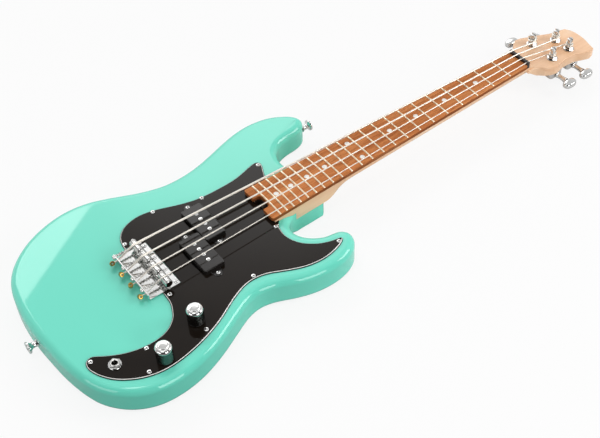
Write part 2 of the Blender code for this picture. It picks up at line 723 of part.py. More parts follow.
def make_neck():
    nut_front = SCALE_LENGTH + NUT_THICKNESS
    rings = []
    for x in (HEEL_START, HEEL_FLAT_END):
        rings.append(neck_section(x, NECK_TOP, HEEL_DEPTH, neck_half_width(x), 0))
    curve_steps = 5
    for step in range(1, curve_steps + 1):
        share = step / curve_steps
        x = HEEL_FLAT_END + (HEEL_CURVE_END - HEEL_FLAT_END) * share
        depth = HEEL_DEPTH + (SHAFT_DEPTH - HEEL_DEPTH) * eased(share)
        rings.append(neck_section(x, NECK_TOP, depth, neck_half_width(x), eased(share)))
    x = nut_front + NUT_LEDGE
    rings.append(neck_section(x, NECK_TOP, SHAFT_DEPTH_AT_NUT, neck_half_width(x), 1))
    # Behind the nut the top scoops down to the headstock's face and the back swells into it
    back = NECK_TOP - SHAFT_DEPTH_AT_NUT
    for ahead, fall, swell in HEADSTOCK_SCOOP:
        top = NECK_TOP - HEADSTOCK_STEP * fall
        bottom = back + (HEADSTOCK_BACK + FIT_GAP - back) * swell
        rings.append(neck_section(nut_front + ahead, top, top - bottom,
                                  neck_half_width(nut_front), 1))
    neck = stack("neck", rings, MAPLE)
    loop = [Vector((nut_front + p.x, p.y)) for p in spline(HEADSTOCK_POINTS, 2)]
    sizes = (
        (HEADSTOCK_BEVEL, HEADSTOCK_BACK), (0, HEADSTOCK_BACK + HEADSTOCK_BEVEL),
        (0, HEADSTOCK_TOP - HEADSTOCK_BEVEL), (HEADSTOCK_BEVEL, HEADSTOCK_TOP),
    )
    rings = [at_height(inset(loop, [d] * len(loop)), z) for d, z in sizes]
    fuse(neck, stack("headstock_blank", rings))
    # Slot for the truss rod, and the wider seat for its nut at the heel
    axis = truss_axis_height()
    half = TRUSS_ROD_WIDTH / 2 + FIT_GAP
    rod_end = SCALE_LENGTH - TRUSS_ROD_SETBACK
    bottom = axis - TRUSS_ROD_HEIGHT / 2 - FIT_GAP
    carve(neck, block("rod_slot_cutter", (HEEL_START - OVERCUT, -half, bottom),
                      (rod_end + FIT_GAP, half, NECK_TOP + OVERCUT)))
    seat_end = HEEL_START + TRUSS_NUT_LENGTH + TRUSS_SEAT_SLACK
    carve(neck, cylinder("rod_nut_cutter", TRUSS_NUT_RADIUS + FIT_GAP,
                         (HEEL_START - OVERCUT, 0, axis), (seat_end, 0, axis), BORE_SIDES))
    carve(neck, truss_notch_cutter("neck_notch_cutter"))
    for number, (x, y) in enumerate(neck_screw_places(), 1):
        carve(neck, cylinder(f"neck_screw_cutter_{number}", NECK_SCREW_RADIUS + FIT_GAP,
                             (x, y, HEEL_BOTTOM - OVERCUT),
                             (x, y, HEEL_BOTTOM + NECK_SCREW_REACH + FIT_GAP), SCREW_SIDES))
    for name, (x, y) in zip(STRING_NAMES, post_centres()):
        carve(neck, cylinder(f"tuner_hole_cutter_{name}", BUSHING_RADIUS + FIT_GAP,
                             (x, y, HEADSTOCK_BACK - OVERCUT),
                             (x, y, HEADSTOCK_TOP + OVERCUT), TUNER_SIDES))
    return neck


def make_truss_rod():
    axis = truss_axis_height()
    rod_start = HEEL_START + TRUSS_NUT_LENGTH + TRUSS_SEAT_SLACK + FIT_GAP
    rod_end = SCALE_LENGTH - TRUSS_ROD_SETBACK
    half = TRUSS_ROD_WIDTH / 2
    block("truss_rod", (rod_start, -half, axis - TRUSS_ROD_HEIGHT / 2),
          (rod_end, half, axis + TRUSS_ROD_HEIGHT / 2), STEEL)
    start = HEEL_START + TRUSS_NUT_INSET
    end = rod_start - FIT_GAP
    profile = (
        (TRUSS_NUT_RADIUS - TRUSS_NUT_CHAMFER, 0), (TRUSS_NUT_RADIUS, TRUSS_NUT_CHAMFER),
        (TRUSS_NUT_RADIUS, end - start),
    )
    nut = turned("truss_rod_nut", profile, (start, 0, axis), (1, 0, 0), BORE_SIDES,
                 STEEL)
    carve(nut, cylinder("hex_socket_cutter", HEX_SOCKET_RADIUS, (start - OVERCUT, 0, axis),
                        (start + HEX_SOCKET_DEPTH, 0, axis), HEX_SIDES))


def board_ring(x, half_width, rise):
    """A slice of the fretboard. The rise lifts all but the bevelled ends, as a fret does."""
    inner = half_width - FRET_END_BEVEL
    across = [-half_width]
    across += [inner * (2 * i / CAMBER_SPANS - 1) for i in range(CAMBER_SPANS + 1)]
    across.append(half_width)
    ring = [(x, half_width, BOARD_BOTTOM), (x, -half_width, BOARD_BOTTOM)]
    for i, y in enumerate(across):
        lift = 0 if i in (0, len(across) - 1) else rise
        ring.append((x, y, BOARD_TOP + lift - board_drop(y)))
    return ring


def make_fretboard():
    rings = []
    corner_steps = 5
    for step in range(corner_steps + 1):
        angle = math.pi / 2 * step / corner_steps
        x = BOARD_END + FRETBOARD_CORNER * (1 - math.cos(angle))
        half = neck_half_width(x) - FRETBOARD_CORNER * (1 - math.sin(angle))
        rings.append(board_ring(x, half, 0))
    for fret in range(FRET_COUNT, 0, -1):
        centre = SCALE_LENGTH * 2 ** (-fret / 12)
        for offset, rise in ((-0.5, 0), (-FRET_CROWN_SHARE, 1), (FRET_CROWN_SHARE, 1), (0.5, 0)):
            x = centre + offset * FRET_WIDTH
            rings.append(board_ring(x, neck_half_width(x), rise * FRET_HEIGHT))
    end = SCALE_LENGTH - FIT_GAP
    rings.append(board_ring(end, neck_half_width(end), 0))
    board = stack("fretboard", rings, ROSEWOOD)
    carve(board, truss_notch_cutter("board_notch_cutter"))
    return board


def make_nut():
    crest = string_at(0, SCALE_LENGTH).z + NUT_CREST
    half = neck_half_width(SCALE_LENGTH) - NUT_SIDE_INSET
    rings = []
    back = SCALE_LENGTH + NUT_THICKNESS
    edge = NUT_CHAMFER
    profile = ((SCALE_LENGTH, BOARD_BOTTOM), (back, BOARD_BOTTOM), (back, crest - 3 * edge),
               (back - 2 * edge, crest - edge), (SCALE_LENGTH + edge, crest),
               (SCALE_LENGTH, crest - edge))
    for y in (-half, half):
        rings.append([(x, y, z) for x, z in profile])
    nut = stack("nut", rings, NUT_BLACK)
    for index, name in enumerate(STRING_NAMES):
        centre = string_at(index, SCALE_LENGTH + NUT_THICKNESS / 2)
        slot = STRING_RADII[index] + FIT_GAP
        floor = string_at(index, back).z - slot
        carve(nut, block(f"nut_slot_cutter_{name}",
                         (SCALE_LENGTH - OVERCUT, centre.y - slot, floor),
                         (back + OVERCUT, centre.y + slot, crest + OVERCUT)))


def guard_loop():
    """The pickguard's outline, and how far its bevelled edge steps in at each point."""
    heel = HEEL_START - 2 * FIT_GAP
    bass_edge = neck_half_width(GUARD_NECK_BASS_X) + 2 * FIT_GAP
    treble_edge = -neck_half_width(GUARD_NECK_TREBLE_X) - 2 * FIT_GAP
    heel_edge = neck_half_width(heel) + 2 * FIT_GAP
    notch_y = BRIDGE_WIDTH / 2 + 2 * FIT_GAP
    notch_x = BRIDGE_FRONT + 2 * FIT_GAP
    neck_side = [Vector((GUARD_NECK_BASS_X, bass_edge)), Vector((heel, heel_edge)),
                 Vector((heel, -heel_edge)), Vector((GUARD_NECK_TREBLE_X, treble_edge))]
    bridge_side = [Vector((GUARD_BRIDGE_X, -notch_y)), Vector((notch_x, -notch_y)),
                   Vector((notch_x, notch_y)), Vector((GUARD_BRIDGE_X, notch_y))]
    bass = spline(GUARD_BASS_POINTS, 2)
    treble = spline(GUARD_TREBLE_POINTS, 2)
    loop = bass + neck_side + treble + bridge_side
    steps = [PICKGUARD_BEVEL] * len(bass) + [0.0] * len(neck_side)
    steps += [PICKGUARD_BEVEL] * len(treble) + [0.0] * len(bridge_side)
    return loop, steps


def make_pickguard():
    loop, steps = guard_loop()
    rings = [
        at_height(loop, GUARD_BOTTOM),
        at_height(loop, GUARD_TOP - PICKGUARD_BEVEL),
        at_height(inset(loop, steps), GUARD_TOP),
    ]
    guard = stack("pickguard", rings, PLY_BLACK)
    low, high = FACE - OVERCUT, GUARD_TOP + OVERCUT
    for side, (x, y) in PICKUPS.items():
        carve(guard, slab(f"guard_{side}_cutter", pickup_loop(x, y, FIT_GAP), low, high))
    holes = (("volume", VOLUME_PLACE, POT_BUSHING_RADIUS), ("tone", TONE_PLACE,
             POT_BUSHING_RADIUS), ("jack", JACK_PLACE, JACK_BUSHING_RADIUS))
    for name, (x, y), radius in holes:
        carve(guard, cylinder(f"guard_{name}_cutter", radius + FIT_GAP, (x, y, low),
                              (x, y, high), BORE_SIDES))
    return guard


def make_bridge_plate():
    rear, front = -BRIDGE_REAR, BRIDGE_FRONT
    top = SHEET_BOTTOM + FLANGE_HEIGHT
    inside = rear + BRIDGE_SHEET
    outer_bend = FLANGE_BEND + BRIDGE_SHEET
    profile = [(front, SHEET_BOTTOM), (front, SHEET_TOP)]
    bend_steps = 3
    for step in range(bend_steps + 1):
        angle = math.pi / 2 * step / bend_steps
        profile.append((inside + FLANGE_BEND * (1 - math.sin(angle)),
                        SHEET_TOP + FLANGE_BEND * (1 - math.cos(angle))))
    profile += [(inside, top), (rear, top)]
    for step in range(bend_steps + 1):
        angle = math.pi / 2 * step / bend_steps
        profile.append((rear + outer_bend * (1 - math.cos(angle)),
                        SHEET_BOTTOM + outer_bend * (1 - math.sin(angle))))
    half = BRIDGE_WIDTH / 2
    rings = [[(x, y, z) for x, z in profile] for y in (-half, half)]
    plate = stack("bridge_plate", rings, CHROME)
    for index, name in enumerate(STRING_NAMES):
        y = string_at(index, 0).y
        string_z = SHEET_BOTTOM + STRING_HOLE_HEIGHT
        screw_z = SHEET_BOTTOM + INTONATION_HEIGHT
        screw_y = y + INTONATION_OFFSET
        carve(plate, cylinder(f"string_hole_cutter_{name}", STRING_RADII[index] + FIT_GAP,
                              (rear - OVERCUT, y, string_z), (inside + OVERCUT, y, string_z),
                              SCREW_SIDES))
        carve(plate, cylinder(f"screw_hole_cutter_{name}", INTONATION_RADIUS + RUNNING_GAP,
                              (rear - OVERCUT, screw_y, screw_z),
                              (inside + OVERCUT, screw_y, screw_z), SCREW_SIDES))
    return plate


def make_saddle(index, name):
    """A barrel with a string groove, standing on two height screws."""
    y = string_at(index, 0).y
    centre_z = SADDLE_SEAT + FIT_GAP - SADDLE_RADIUS
    half = SADDLE_LENGTH / 2
    edge = SADDLE_CHAMFER
    profile = ((SADDLE_RADIUS - edge, 0), (SADDLE_RADIUS, edge),
               (SADDLE_RADIUS, SADDLE_LENGTH - edge), (SADDLE_RADIUS - edge, SADDLE_LENGTH))
    saddle = turned(f"saddle_{name}", profile, (0, y - half, centre_z), (0, 1, 0),
                    BARREL_SIDES, CHROME,
                    origin=(0, y, centre_z))
    for side in (-1, 1):
        leg_y = y + side * SADDLE_LEG_OFFSET
        fuse(saddle, cylinder(f"saddle_leg_{name}_{side}", SADDLE_LEG_RADIUS,
                              (0, leg_y, SHEET_TOP + FIT_GAP), (0, leg_y, centre_z), LEG_SIDES))
    groove = STRING_RADII[index] + FIT_GAP
    line = string_at(index, 0).z
    reach = SADDLE_RADIUS + OVERCUT
    carve(saddle, cylinder(f"saddle_groove_cutter_{name}", groove, (-reach, y, line),
                           (reach, y, line), SCREW_SIDES))
    screw_y = y + INTONATION_OFFSET
    screw_z = SHEET_BOTTOM + INTONATION_HEIGHT
    carve(saddle, cylinder(f"saddle_thread_cutter_{name}", INTONATION_RADIUS + RUNNING_GAP,
                           (-reach, screw_y, screw_z), (reach, screw_y, screw_z), SCREW_SIDES))


def make_intonation(index, name):
    """The long screw that sets a saddle's place, and the spring that holds it back."""
    y = string_at(index, 0).y + INTONATION_OFFSET
    z = SHEET_BOTTOM + INTONATION_HEIGHT
    head_start = -BRIDGE_REAR - FIT_GAP - INTONATION_HEAD_LENGTH
    length = INTONATION_TIP - head_start
    profile = (
        (INTONATION_HEAD_RADIUS - INTONATION_HEAD_CHAMFER, 0),
        (INTONATION_HEAD_RADIUS, INTONATION_HEAD_CHAMFER),
        (INTONATION_HEAD_RADIUS, INTONATION_HEAD_LENGTH),
        (INTONATION_RADIUS, INTONATION_HEAD_LENGTH), (INTONATION_RADIUS, length),
    )
    turned(f"intonation_screw_{name}", profile, (head_start, y, z), (1, 0, 0), SCREW_SIDES,
           STEEL)
    start = -BRIDGE_REAR + BRIDGE_SHEET + FIT_GAP + SPRING_WIRE
    end = -SADDLE_RADIUS - FIT_GAP - SPRING_WIRE
    per_turn = 6
    count = SPRING_TURNS * per_turn
    points = []
    for i in range(count + 1):
        angle = 2 * math.pi * i / per_turn
        share = min(max((i - per_turn / 2) / (count - per_turn), 0.0), 1.0)
        points.append((start + (end - start) * share, y + SPRING_RADIUS * math.cos(angle),
                       z + SPRING_RADIUS * math.sin(angle)))
    swept(f"intonation_spring_{name}", points, SPRING_WIRE, 4, STEEL)


def make_pickup(side, x, y):
    """Half of a split pickup: a potted cover with two mounting ears and four poles."""
    top = FACE + PICKUP_RISE
    bottom = top - PICKUP_HEIGHT
    edge = PICKUP_EDGE
    loops = ((0, bottom), (0, top - edge), (edge, top))
    rings = [at_height(pickup_block_loop(x, y, shrink), z) for shrink, z in loops]
    pickup = stack(f"pickup_{side}", rings, COVER_BLACK)
    ear_top = FACE + PICKUP_EAR_RISE
    fuse(pickup, slab(f"pickup_ears_{side}", pickup_loop(x, y, -edge / 2),
                      ear_top - PICKUP_EAR_THICKNESS, ear_top))
    for number in range(4):
        pole_y = y + (number - 1.5) * POLE_PITCH
        fuse(pickup, cylinder(f"pole_{side}_{number}", POLE_RADIUS, (x, pole_y, top - POLE_SINK),
                              (x, pole_y, top + POLE_PROUD), POLE_SIDES))


def make_knob(name, place):
    x, y = place
    bottom = GUARD_TOP + KNOB_CLEARANCE
    bore = POT_SHAFT_RADIUS + FIT_GAP
    bore_top = GUARD_TOP + POT_SHAFT_RISE + FIT_GAP - bottom
    profile = (
        (0, bore_top), (bore, bore_top), (bore, KNOB_RECESS_DEPTH),
        (KNOB_RECESS_RADIUS, KNOB_RECESS_DEPTH), (KNOB_RECESS_RADIUS, 0),
        (KNOB_RADIUS - KNOB_FOOT_CHAMFER, 0), (KNOB_RADIUS, KNOB_FOOT_CHAMFER),
        (KNOB_RADIUS, KNOB_HEIGHT - KNOB_CHAMFER),
        (KNOB_RADIUS - KNOB_CHAMFER / 3, KNOB_HEIGHT - KNOB_CHAMFER / 3),
        (KNOB_RADIUS - KNOB_CHAMFER, KNOB_HEIGHT - KNOB_CHAMFER / 20),
        (KNOB_RADIUS * KNOB_CROWN_SHARE, KNOB_HEIGHT), (0, KNOB_HEIGHT),
    )
    turned(f"{name}_knob", profile, (x, y, bottom), segments=KNOB_SIDES, finish=CHROME)


def make_pot(name, place):
    """A potentiometer: the can hangs under the pickguard and its shaft carries the knob."""
    x, y = place
    top = GUARD_BOTTOM - FIT_GAP
    bore = POT_SHAFT_RADIUS + RUNNING_GAP
    floor = top - POT_HEIGHT + POT_FLOOR
    bushing_top = GUARD_TOP + POT_BUSHING_RISE
    profile = (
        (0, floor), (bore, floor), (bore, bushing_top), (POT_BUSHING_RADIUS, bushing_top),
        (POT_BUSHING_RADIUS, top), (POT_RADIUS, top), (POT_RADIUS, top - POT_HEIGHT),
        (0, top - POT_HEIGHT),
    )
    turned(f"{name}_pot", profile, (x, y, 0), segments=BARREL_SIDES, finish=STEEL)
    shaft_bottom = floor + FIT_GAP
    shaft_top = GUARD_TOP + POT_SHAFT_RISE
    cylinder(f"{name}_shaft", POT_SHAFT_RADIUS, (x, y, shaft_bottom), (x, y, shaft_top),
             BARREL_SIDES, STEEL)


def make_jack():
    x, y = JACK_PLACE
    top = GUARD_BOTTOM - FIT_GAP
    bottom = top - JACK_BARREL_LENGTH
    floor = bottom + JACK_FLOOR
    bushing_top = GUARD_TOP + JACK_BUSHING_RISE
    profile = (
        (0, floor), (JACK_BORE_RADIUS, floor), (JACK_BORE_RADIUS, bushing_top),
        (JACK_BUSHING_RADIUS, bushing_top), (JACK_BUSHING_RADIUS, top),
        (JACK_BARREL_RADIUS, top), (JACK_BARREL_RADIUS, bottom), (0, bottom),
    )
    turned("jack_socket", profile, (x, y, 0), segments=KNOB_SIDES, finish=STEEL)
    low = GUARD_TOP + FIT_GAP
    high = low + JACK_NUT_HEIGHT
    inner = JACK_BUSHING_RADIUS + FIT_GAP
    edge = JACK_NUT_CHAMFER
    profile = (
        (JACK_NUT_RADIUS, low), (JACK_NUT_RADIUS, high - edge), (JACK_NUT_RADIUS - edge, high),
    )
    jack_nut = turned("jack_nut", profile, (x, y, 0), segments=KNOB_SIDES, finish=CHROME)
    carve(jack_nut, cylinder("jack_nut_cutter", inner, (x, y, low - OVERCUT),
                             (x, y, high + OVERCUT), KNOB_SIDES))


def post_centres():
    nut_front = SCALE_LENGTH + NUT_THICKNESS
    return [(nut_front + ahead, y) for ahead, y in POST_PLACES]


def make_tuner(name, place, side):
    """A closed machine head: housing behind, bushing and post in front, key at the side."""
    x, y = place
    back = HEADSTOCK_BACK - FIT_GAP
    post_bore = POST_RADIUS + RUNNING_GAP
    key_z = back - KEY_DROP
    centre_y = y + side * (HOUSING_OUTER - HOUSING_INNER) / 2
    width = HOUSING_OUTER + HOUSING_INNER
    low = back - HOUSING_HEIGHT
    sizes = ((0, back), (0, low + HOUSING_ROUND), (HOUSING_ROUND / 3, low + HOUSING_ROUND / 3),
             (HOUSING_ROUND, low))
    rings = []
    for shrink, z in sizes:
        loop = rounded_rectangle((x, centre_y), HOUSING_LENGTH - 2 * shrink, width - 2 * shrink,
                                 HOUSING_CORNER - shrink / 2, steps=2)
        rings.append(at_height(loop, z))
    housing = stack(f"tuner_housing_{name}", rings, CHROME)
    post_floor = low + HOUSING_FLOOR
    carve(housing, cylinder(f"post_bore_cutter_{name}", post_bore, (x, y, post_floor),
                            (x, y, back + OVERCUT), TUNER_SIDES))
    inner_y = y + side * KEY_INNER_END
    outer_y = y + side * (HOUSING_OUTER + OVERCUT)
    carve(housing, cylinder(f"key_bore_cutter_{name}", KEY_SHAFT_RADIUS + RUNNING_GAP,
                            (x, inner_y, key_z), (x, outer_y, key_z), SCREW_SIDES))
    # Bushing: a sleeve in the headstock, a washer on its face and a hexagon above
    face = HEADSTOCK_TOP + FIT_GAP
    sleeve = ((BUSHING_RADIUS, -BUSHING_REACH), (BUSHING_RADIUS, 0), (WASHER_RADIUS, 0),
              (WASHER_RADIUS, WASHER_THICKNESS - WASHER_CHAMFER),
              (WASHER_RADIUS - WASHER_CHAMFER, WASHER_THICKNESS))
    bushing = turned(f"tuner_bushing_{name}", sleeve, (x, y, face), segments=TUNER_SIDES,
                     finish=CHROME)
    fuse(bushing, cylinder(f"hexagon_{name}", HEX_NUT_RADIUS,
                           (x, y, face + WASHER_THICKNESS / 2),
                           (x, y, face + WASHER_THICKNESS + HEX_NUT_HEIGHT), HEX_SIDES))
    carve(bushing, cylinder(f"bushing_bore_cutter_{name}", post_bore,
                            (x, y, face - BUSHING_REACH - OVERCUT), (x, y, face + OVERCUT),
                             TUNER_SIDES))
    # Post
    foot = post_floor + FIT_GAP
    crown = HEADSTOCK_TOP + POST_RISE
    waist_low = face + WASHER_THICKNESS + HEX_NUT_HEIGHT + FIT_GAP
    waist_high = crown - POST_SLOT_DEPTH - POST_FLARE
    profile = (
        (POST_RADIUS, foot), (POST_RADIUS, waist_low), (POST_WAIST, waist_low + FIT_GAP),
        (POST_WAIST, waist_high), (POST_CROWN, waist_high + POST_FLARE),
        (POST_CROWN, crown - POST_CHAMFER), (POST_CROWN - POST_CHAMFER, crown),
    )
    post = turned(f"tuner_post_{name}", profile, (x, y, 0), segments=TUNER_SIDES, finish=CHROME)
    carve(post, block(f"post_slot_cutter_{name}",
                      (x - POST_SLOT_WIDTH / 2, y - OVERCUT, crown - POST_SLOT_DEPTH),
                      (x + POST_SLOT_WIDTH / 2, y + OVERCUT, crown + OVERCUT)))
    # Key: shaft, collar and kidney-shaped button
    start = KEY_INNER_END + FIT_GAP
    collar = HOUSING_OUTER + FIT_GAP
    neck_end = KEY_REACH - (0.5 - BUTTON_DISH) * BUTTON_LENGTH + BUTTON_SINK
    collar_end = collar + KEY_COLLAR_LENGTH
    profile = (
        (KEY_SHAFT_RADIUS, start), (KEY_SHAFT_RADIUS, collar),
        (KEY_COLLAR_RADIUS, collar), (KEY_COLLAR_RADIUS, collar_end),
        (KEY_NECK_RADIUS, collar_end + KEY_FLARE), (KEY_NECK_RADIUS, neck_end - KEY_NECK_FLARE),
        (KEY_COLLAR_RADIUS, neck_end),
    )
    key = turned(f"tuner_key_{name}", profile, (x, y, key_z), (0, side, 0), SCREW_SIDES,
                 CHROME)
    fuse(key, make_button(name, x, y, key_z, side))


def make_button(name, x, y, z, side):
    """The key's button: broad across the shaft, with a dished side towards the headstock."""
    rings = []
    for scale, level in BUTTON_LEVELS:
        ring = []
        for i in range(BUTTON_POINTS):
            angle = 2 * math.pi * i / BUTTON_POINTS
            cosine, sine = math.cos(angle), math.sin(angle)
            across = math.copysign(abs(cosine) ** BUTTON_END_FULLNESS, cosine) * BUTTON_WIDTH / 2
            along = math.copysign(abs(sine) ** BUTTON_SIDE_FULLNESS, sine) * BUTTON_LENGTH / 2
            dish = BUTTON_DISH * BUTTON_LENGTH * (1 - cosine * cosine) if sine < 0 else 0
            ring.append((x + across * scale,
                         y + side * (KEY_REACH + (along + dish) * scale),
                         z + level * BUTTON_THICKNESS))
        rings.append(ring)
    return stack(f"button_{name}", rings)


def string_route(index, place, side):
    """The string's centre line: ball end, bridge, saddle, nut and the turns round its post."""
    radius = STRING_RADII[index]
    lane = string_at(index, 0).y
    low = SHEET_BOTTOM + STRING_HOLE_HEIGHT
    inside = -BRIDGE_REAR + BRIDGE_SHEET
    crest = string_at(index, 0)
    bend = -SADDLE_BACK_TRAVEL - STRING_BEND_CLEARANCE
    nut_back = SCALE_LENGTH + NUT_THICKNESS
    points = [
        Vector((-BRIDGE_REAR - BALL_STANDOFF - BALL_RADIUS, lane, low)),
        Vector((-BRIDGE_REAR, lane, low)),
    ]
    points += [Vector((inside + ahead, lane, low + rise)) for ahead, rise in STRING_EXIT_BEND]
    points += [Vector((bend + ahead, lane, crest.z + rise)) for ahead, rise in STRING_CREST_BEND]
    points += [string_at(index, x) for x in (STRING_STRAIGHT_START, SCALE_LENGTH, nut_back)]
    # Straight to the lowest turn on the post's inner side, then up towards its slot
    leave = points[-1]
    centre = Vector(place)
    wrap = POST_WAIST + radius + FIT_GAP
    towards = centre - Vector((leave.x, leave.y))
    heading = math.atan2(towards.y, towards.x) - side * math.asin(wrap / towards.length)
    start_angle = heading - side * math.pi / 2
    low_turn = HEADSTOCK_TOP + FIT_GAP + WASHER_THICKNESS + HEX_NUT_HEIGHT + WRAP_CLEARANCE + radius
    pitch = 2 * radius + FIT_GAP
    count = round(WRAP_TURNS[index] * STEPS_PER_TURN)
    points.append(leave + Vector((STRING_PAST_NUT * math.cos(heading),
                                  STRING_PAST_NUT * math.sin(heading), -STRING_DIP_PAST_NUT)))
    for i in range(count + 1):
        turn = i / STEPS_PER_TURN
        angle = start_angle + side * 2 * math.pi * turn
        points.append(Vector((centre.x + wrap * math.cos(angle), centre.y + wrap * math.sin(angle),
                              low_turn + pitch * turn)))
    return points


def make_string(index, name, place, side):
    radius = STRING_RADII[index]
    route = string_route(index, place, side)
    string = swept(f"string_{name}", route, radius, STRING_SIDES, STEEL)
    ball = route[0]
    half = BALL_LENGTH / 2
    edge = BALL_EDGE
    profile = ((BALL_RADIUS - edge, -half), (BALL_RADIUS, edge - half),
               (BALL_RADIUS, half - edge), (BALL_RADIUS - edge, half))
    fuse(string, turned(f"ball_end_{name}", profile, ball, (0, 1, 0), TUNER_SIDES))


def make_strap_button(name, place, axis):
    """A strap button: a waisted peg with a flat rim."""
    under = STRAP_LENGTH - STRAP_RIM_THICKNESS
    edge = STRAP_RIM_CHAMFER
    profile = (
        (STRAP_BASE_RADIUS, FIT_GAP), (STRAP_NECK_RADIUS, STRAP_WAIST_START),
        (STRAP_NECK_RADIUS, STRAP_WAIST_END), (STRAP_RIM_RADIUS - edge, under - edge),
        (STRAP_RIM_RADIUS, under), (STRAP_RIM_RADIUS, STRAP_LENGTH - edge),
        (STRAP_RIM_RADIUS - edge, STRAP_LENGTH),
    )
    turned(name, profile, place, axis, TUNER_SIDES, CHROME)


def outline_reach(y, side):
    """How far the body's outline reaches along X at a given Y, at its tail or its horn."""
    loop, _ = body_loop()
    found = []
    for a, b in zip(loop, loop[1:]):
        if min(a.y, b.y) <= y <= max(a.y, b.y) and a.y != b.y:
            found.append(a.x + (b.x - a.x) * (y - a.y) / (b.y - a.y))
    return max(found) if side > 0 else min(found)


def clear_scene():
    for obj in list(bpy.data.objects):
        bpy.data.objects.remove(obj, do_unlink=True)


def main():
    clear_scene()
    make_body()
    make_neck_plate()
    make_neck()
    make_truss_rod()
    make_fretboard()
    make_nut()
    make_pickguard()
    make_bridge_plate()
    for index, name in enumerate(STRING_NAMES):
        make_saddle(index, name)
        make_intonation(index, name)
    for side, (x, y) in PICKUPS.items():
        make_pickup(side, x, y)
    for name, place in (("volume", VOLUME_PLACE), ("tone", TONE_PLACE)):
        make_knob(name, place)
        make_pot(name, place)
    make_jack()
    for index, (name, place, side) in enumerate(zip(STRING_NAMES, post_centres(), KEY_SIDES)):
        make_tuner(name, place, side)
        make_string(index, name, place, side)
    middle = BODY_THICKNESS / 2
    tail = (outline_reach(STRAP_TAIL_Y, -1), STRAP_TAIL_Y, middle)
    horn = (outline_reach(STRAP_HORN_Y, 1), STRAP_HORN_Y, middle)
    make_strap_button("strap_button_tail", tail, (-1, 0, 0))
    make_strap_button("strap_button_horn", horn, (1, 0, 0))


main()
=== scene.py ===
"""Looks of the solid-body bass ukulele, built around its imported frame. Metres, +Z up."""

import json
from math import asin, atan2, copysign, cos, pi, radians, sin, sqrt

import bmesh
import bpy
from mathutils import Euler, Matrix, Vector


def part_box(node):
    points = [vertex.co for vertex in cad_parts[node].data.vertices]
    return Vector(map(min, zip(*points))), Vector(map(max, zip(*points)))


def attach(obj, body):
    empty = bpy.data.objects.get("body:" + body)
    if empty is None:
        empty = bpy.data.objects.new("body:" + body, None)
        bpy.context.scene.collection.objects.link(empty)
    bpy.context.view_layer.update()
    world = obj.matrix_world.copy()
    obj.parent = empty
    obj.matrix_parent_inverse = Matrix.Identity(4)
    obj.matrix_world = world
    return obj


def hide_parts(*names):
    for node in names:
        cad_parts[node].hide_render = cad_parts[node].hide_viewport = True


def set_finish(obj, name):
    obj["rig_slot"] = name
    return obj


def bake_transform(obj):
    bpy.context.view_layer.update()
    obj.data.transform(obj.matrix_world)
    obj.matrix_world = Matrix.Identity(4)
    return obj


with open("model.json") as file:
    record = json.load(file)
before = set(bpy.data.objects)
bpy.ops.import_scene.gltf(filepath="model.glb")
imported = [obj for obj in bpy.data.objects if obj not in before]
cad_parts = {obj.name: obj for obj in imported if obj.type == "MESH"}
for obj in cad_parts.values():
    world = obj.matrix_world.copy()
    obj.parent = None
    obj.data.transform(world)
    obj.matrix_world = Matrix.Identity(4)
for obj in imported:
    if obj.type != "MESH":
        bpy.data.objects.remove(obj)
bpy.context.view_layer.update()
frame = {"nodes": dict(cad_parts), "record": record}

MM = 0.001
OVERCUT = 0.01
SHARP_ANGLE = radians(32)
FIT_GAP = 0.0003

# Sizes that the frame was built with
SCALE_LENGTH = 0.546
FRET_COUNT = 22
BODY_THICKNESS = 0.037
BODY_ROUND = 0.009
HEEL_ROUND = 0.003
NECK_BLOCK_END = 0.2165
FULL_ROUND_OFF_AXIS = 0.031
FULL_ROUND_BEFORE_X = 0.177
ROUND_EASE = (0.014, 0.010)
BODY_CUT_HEIGHT = 0.020
ROUT_CUT_HEIGHT = 0.030
CAVITY_FLOOR = 0.007
PICKUP_FLOOR = 0.0247
FRET_PLANE = 0.048
FRET_HEIGHT = 0.001
FRET_WIDTH = 0.0022
BOARD_TOP = 0.047
BOARD_BOTTOM = 0.0412
BOARD_RADIUS = 0.305
BOARD_OVERHANG = 0.0115
BOARD_CORNER = 0.003
BOARD_EDGE = 0.0004
BOARD_END = SCALE_LENGTH * 2 ** (-FRET_COUNT / 12) - BOARD_OVERHANG
NECK_TOP = 0.0409
HEEL_START = 0.1446
HEEL_DEPTH = 0.0185
HEEL_FLAT_END = 0.2185
HEEL_CURVE_END = 0.2585
SHAFT_DEPTH = 0.0148
SHAFT_DEPTH_AT_NUT = 0.0138
SHAFT_FULLNESS = 2.3
NUT_HALF_WIDTH = 0.017
BODY_END_HALF_WIDTH = 0.0285
NUT_THICKNESS = 0.0046
NUT_BACK = SCALE_LENGTH + NUT_THICKNESS
NUT_CREST = 0.0006
NUT_SIDE_INSET = 0.0004
NUT_SLOT_SLACK = 0.0002
NUT_ROUND = 0.0018
NUT_EDGE = 0.0005
HEADSTOCK_TOP = 0.0379
HEADSTOCK_BACK = 0.0244
HEADSTOCK_ROUND = 0.0012
SWEEP_LEAD = 0.0035
SWEEP_LENGTH = 0.0175
SWEEP_THICKNESS = 0.0045
